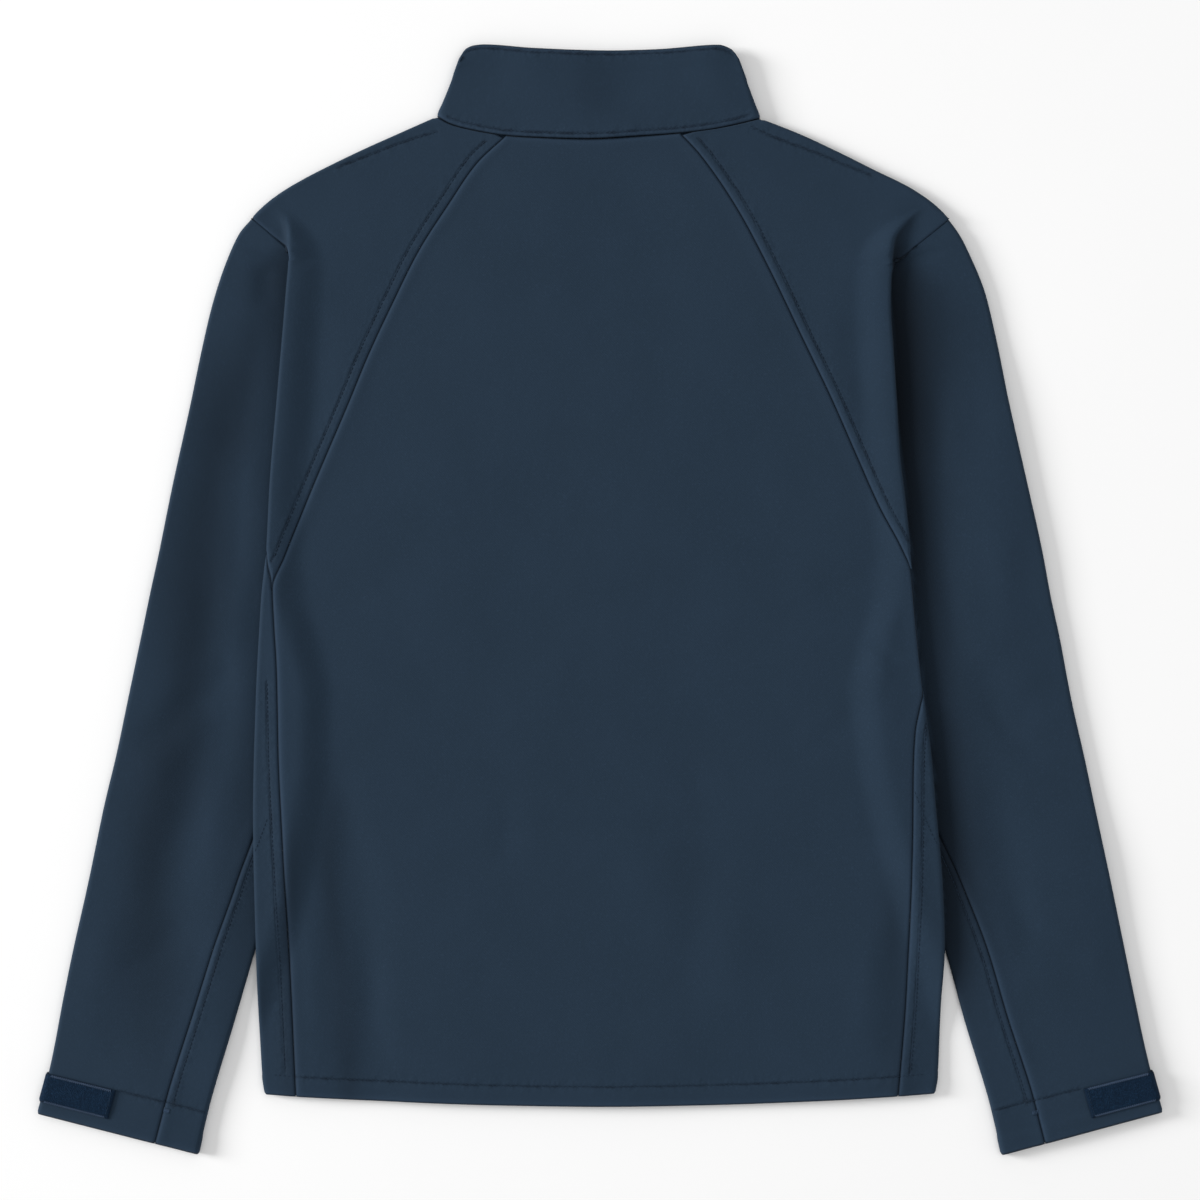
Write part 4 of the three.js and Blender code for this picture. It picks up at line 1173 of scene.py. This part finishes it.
def sewLine(name, line, above=True, length=stitch["length"]):
    line = np.asarray(line, float)
    spans = np.hypot(*np.diff(line, axis=0).T)
    along = np.concatenate([[0], np.cumsum(spans)])
    points, faces = [], []
    sign = 1 if above else -1
    for middle in np.arange(length, along[-1] - length, length + stitch["gap"]):
        ends = []
        for place in (middle - length / 2, middle + length / 2):
            x, y = np.interp(place, along, line[:, 0]), np.interp(place, along, line[:, 1])
            ends.append((x, y, touchDown(x, y, above)))
        heights = [end[2] for end in ends]
        if None in heights or abs(heights[0] - heights[1]) > stitch["maxStep"]:
            continue
        a, b = np.array(ends)
        direction = (b - a) / np.linalg.norm(b - a)
        sideways = np.cross(direction, (0, 0, 1))
        sideways /= np.linalg.norm(sideways)
        addBar(points, faces, [
            threadRing((a + b) / 2 + direction * share * length + (0, 0, sign * lift),
                       stitch["radius"] * girth, sideways)
            for share, lift, girth in stitch["profile"]
        ])
    makeObject(name, points, faces, thread)


tree = clothTree()
for name, line in lines.items():
    sewLine(f"stitch_{name}", line)
for side in sides:
    y = np.linspace(-366, 298, 60)
    x = np.full_like(y, signs[side] * (jacket["zipOpening"] + topstitch["zip"]))
    sewLine(f"stitch_zip_{side}", np.stack([x, y], -1), above=False)
print("topstitching made")


def bartack(name, x, y, heading, size=(4.4, 3.2), turns=17, material=bartackThread):
    # a dense zigzag over the cloth
    direction = np.array([math.cos(heading), math.sin(heading)])
    across = np.array([-direction[1], direction[0]])
    path = []
    for k in range(turns + 1):
        centre = np.array([x, y]) + direction * size[0] * (k / turns - 0.5)
        place = centre + across * size[1] / 2 * (1 if k % 2 else -1)
        path.append(np.array([*place, touchDown(*place) + zigzag["lift"]]))
    points, faces = [], []
    for a, b in zip(path[:-1], path[1:]):
        sideways = np.cross((b - a) / np.linalg.norm(b - a), (0, 0, 1))
        addBar(points, faces, [threadRing(end, zigzag["radius"], sideways) for end in (a, b)])
    makeObject(name, points, faces, material)


def sewPatch(side):
    # zigzag along the strip's two long edges, a plain row at its inner end
    inset = topstitch["patch"] / cuffRowLong
    begins, ends = lastRow - 1 + patch["begins"] + inset, lastRow - 1 + patch["ends"] - inset
    for edge, place in (("top", begins), ("cuff", ends)):
        outer, inner = acrossCuff(side, place, 0.025, 0.4, 2)
        x, y = (outer + inner) / 2
        reach = inner - outer
        bartack(f"stitch_patch_{edge}_{side}", x, y, math.atan2(reach[1], reach[0]),
                size=(float(np.hypot(*reach)), 1.7), turns=58, material=patchThread)
    corners = [acrossCuff(side, place, 0.405, 0.41, 2)[0] for place in (begins, ends)]
    sewLine(f"stitch_patch_end_{side}", np.linspace(*corners, 12), length=1.5)


for side in sides:
    sewPatch(side)
bartack("bartack_left", -320.9, -377.8, math.radians(-14))
bartack("bartack_right", 322.1, -379.2, math.radians(14))


# Zip

zipParts = dict(
    bottom=-371, top=364,
    pitch=2.6, toothLong=1.7, toothIn=0.9, toothOut=3.1,
    toothNarrow=0.78,  # of its length, at the end that meshes
    toothTop=8,  # the last tooth is this far below the tapes' top
    low=2.7, high=4.35, chamfer=0.3, chamferHigh=0.35,
    tapeIn=1.6, tapeOut=11.8, tapeLow=4.4, tapeHigh=4.85,
)


def toothRing(sign, y, z, shrink):
    ring = []
    for dx, dy in ((0, -0.5), (1, -0.5), (1, 0.5), (0, 0.5)):
        across = mix(-zipParts["toothIn"] + shrink, zipParts["toothOut"] - shrink, dx)
        long = dy * (zipParts["toothLong"] * (1 if dx else zipParts["toothNarrow"]) - shrink)
        ring.append((sign * across, y + long, z))
    return ring


def zipTeeth():
    points, faces = [], []
    low = zipParts["low"]
    levels = [(low, zipParts["chamfer"]), (low + zipParts["chamferHigh"], 0), (zipParts["high"], 0)]
    for side in sides:
        start = zipParts["bottom"] + (0 if side == "left" else zipParts["pitch"] / 2)
        for y in np.arange(start, zipParts["top"] - zipParts["toothTop"], zipParts["pitch"]):
            addBar(points, faces, [toothRing(signs[side], y, z, shrink) for z, shrink in levels])
    teeth = makeObject("zip_teeth", points, faces, toothPlastic, shaded=False)
    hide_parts("zip_chain")


def zipTapeSide(side):
    x = np.linspace(zipParts["tapeIn"], zipParts["tapeOut"], 10) * signs[side]
    y = np.linspace(zipParts["bottom"], zipParts["top"], 200)
    x, y = np.meshgrid(x, y)
    grid = np.stack([x, y, np.full_like(x, zipParts["tapeLow"])], -1)
    if side == "right":
        grid = grid[::-1]
    size, area = flatCut(grid)
    marks = dict(seamAway=seamAway(grid, ["start", "end"]))
    thickness = zipParts["tapeHigh"] - zipParts["tapeLow"]
    piece = shell(f"zip_tape_{side}", grid, thickness, zipTape, marks)


zipTeeth()
for side in sides:
    zipTapeSide(side)
hardwareEdge = 0.12
for name in ("zip_slider", "zip_pull"):
    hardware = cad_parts[name]
    hardware.data.materials.clear()
    hardware.data.materials.append(lacquer)
    edge = hardware.modifiers.new("softEdges", "BEVEL")
    edge.width = hardwareEdge * mm
    edge.segments = 2
    edge.limit_method = "ANGLE"
print("zip made")


# Floor, light and camera

scene = bpy.context.scene
studio = dict(
    floorSize=8, floorGap=0.0002,
    softboxes=dict(  # place and size in metres, power
        keySoftbox=((-7.2, 1.3, 2.5), 2.4, 720),
        topSoftbox=((0.9, 0.2, 2.7), 2.0, 14),
    ),
    sky=0.6,
    lens=85, sensor=36, frameWidth=888, middleHeight=6,
)


def addFloor():
    half = studio["floorSize"] / 2
    mesh = bpy.data.meshes.new("floor")
    corners = [(-half, -half, 0), (half, -half, 0), (half, half, 0), (-half, half, 0)]
    mesh.from_pydata(corners, [], [(0, 1, 2, 3)])
    mesh.materials.append(makeFloor())
    floor = bpy.data.objects.new("floor", mesh)
    floor.location.z = -studio["floorGap"]
    scene.collection.objects.link(floor)


def addSoftbox(name, place, size, power):
    light = bpy.data.lights.new(name, "AREA")
    light.size = size
    light.energy = power
    box = bpy.data.objects.new(name, light)
    box.location = place
    box.rotation_euler = Vector(place).to_track_quat("Z", "Y").to_euler()
    scene.collection.objects.link(box)


def addCamera():
    data = bpy.data.cameras.new("camera")
    data.lens = studio["lens"]
    data.sensor_width = studio["sensor"]
    camera = bpy.data.objects.new("camera", data)
    distance = studio["frameWidth"] * studio["lens"] / studio["sensor"] + studio["middleHeight"]
    camera.location = (0, 0, distance * mm)
    scene.collection.objects.link(camera)
    scene.camera = camera


addFloor()
for name, settings in studio["softboxes"].items():
    addSoftbox(name, *settings)
scene.world = bpy.data.worlds.new("paleRoom")
scene.world.use_nodes = True
background = scene.world.node_tree.nodes["Background"]
background.inputs["Color"].default_value = (1, 1, 1, 1)
background.inputs["Strength"].default_value = studio["sky"]
scene.view_settings.view_transform = "Standard"
addCamera()
print("studio made")
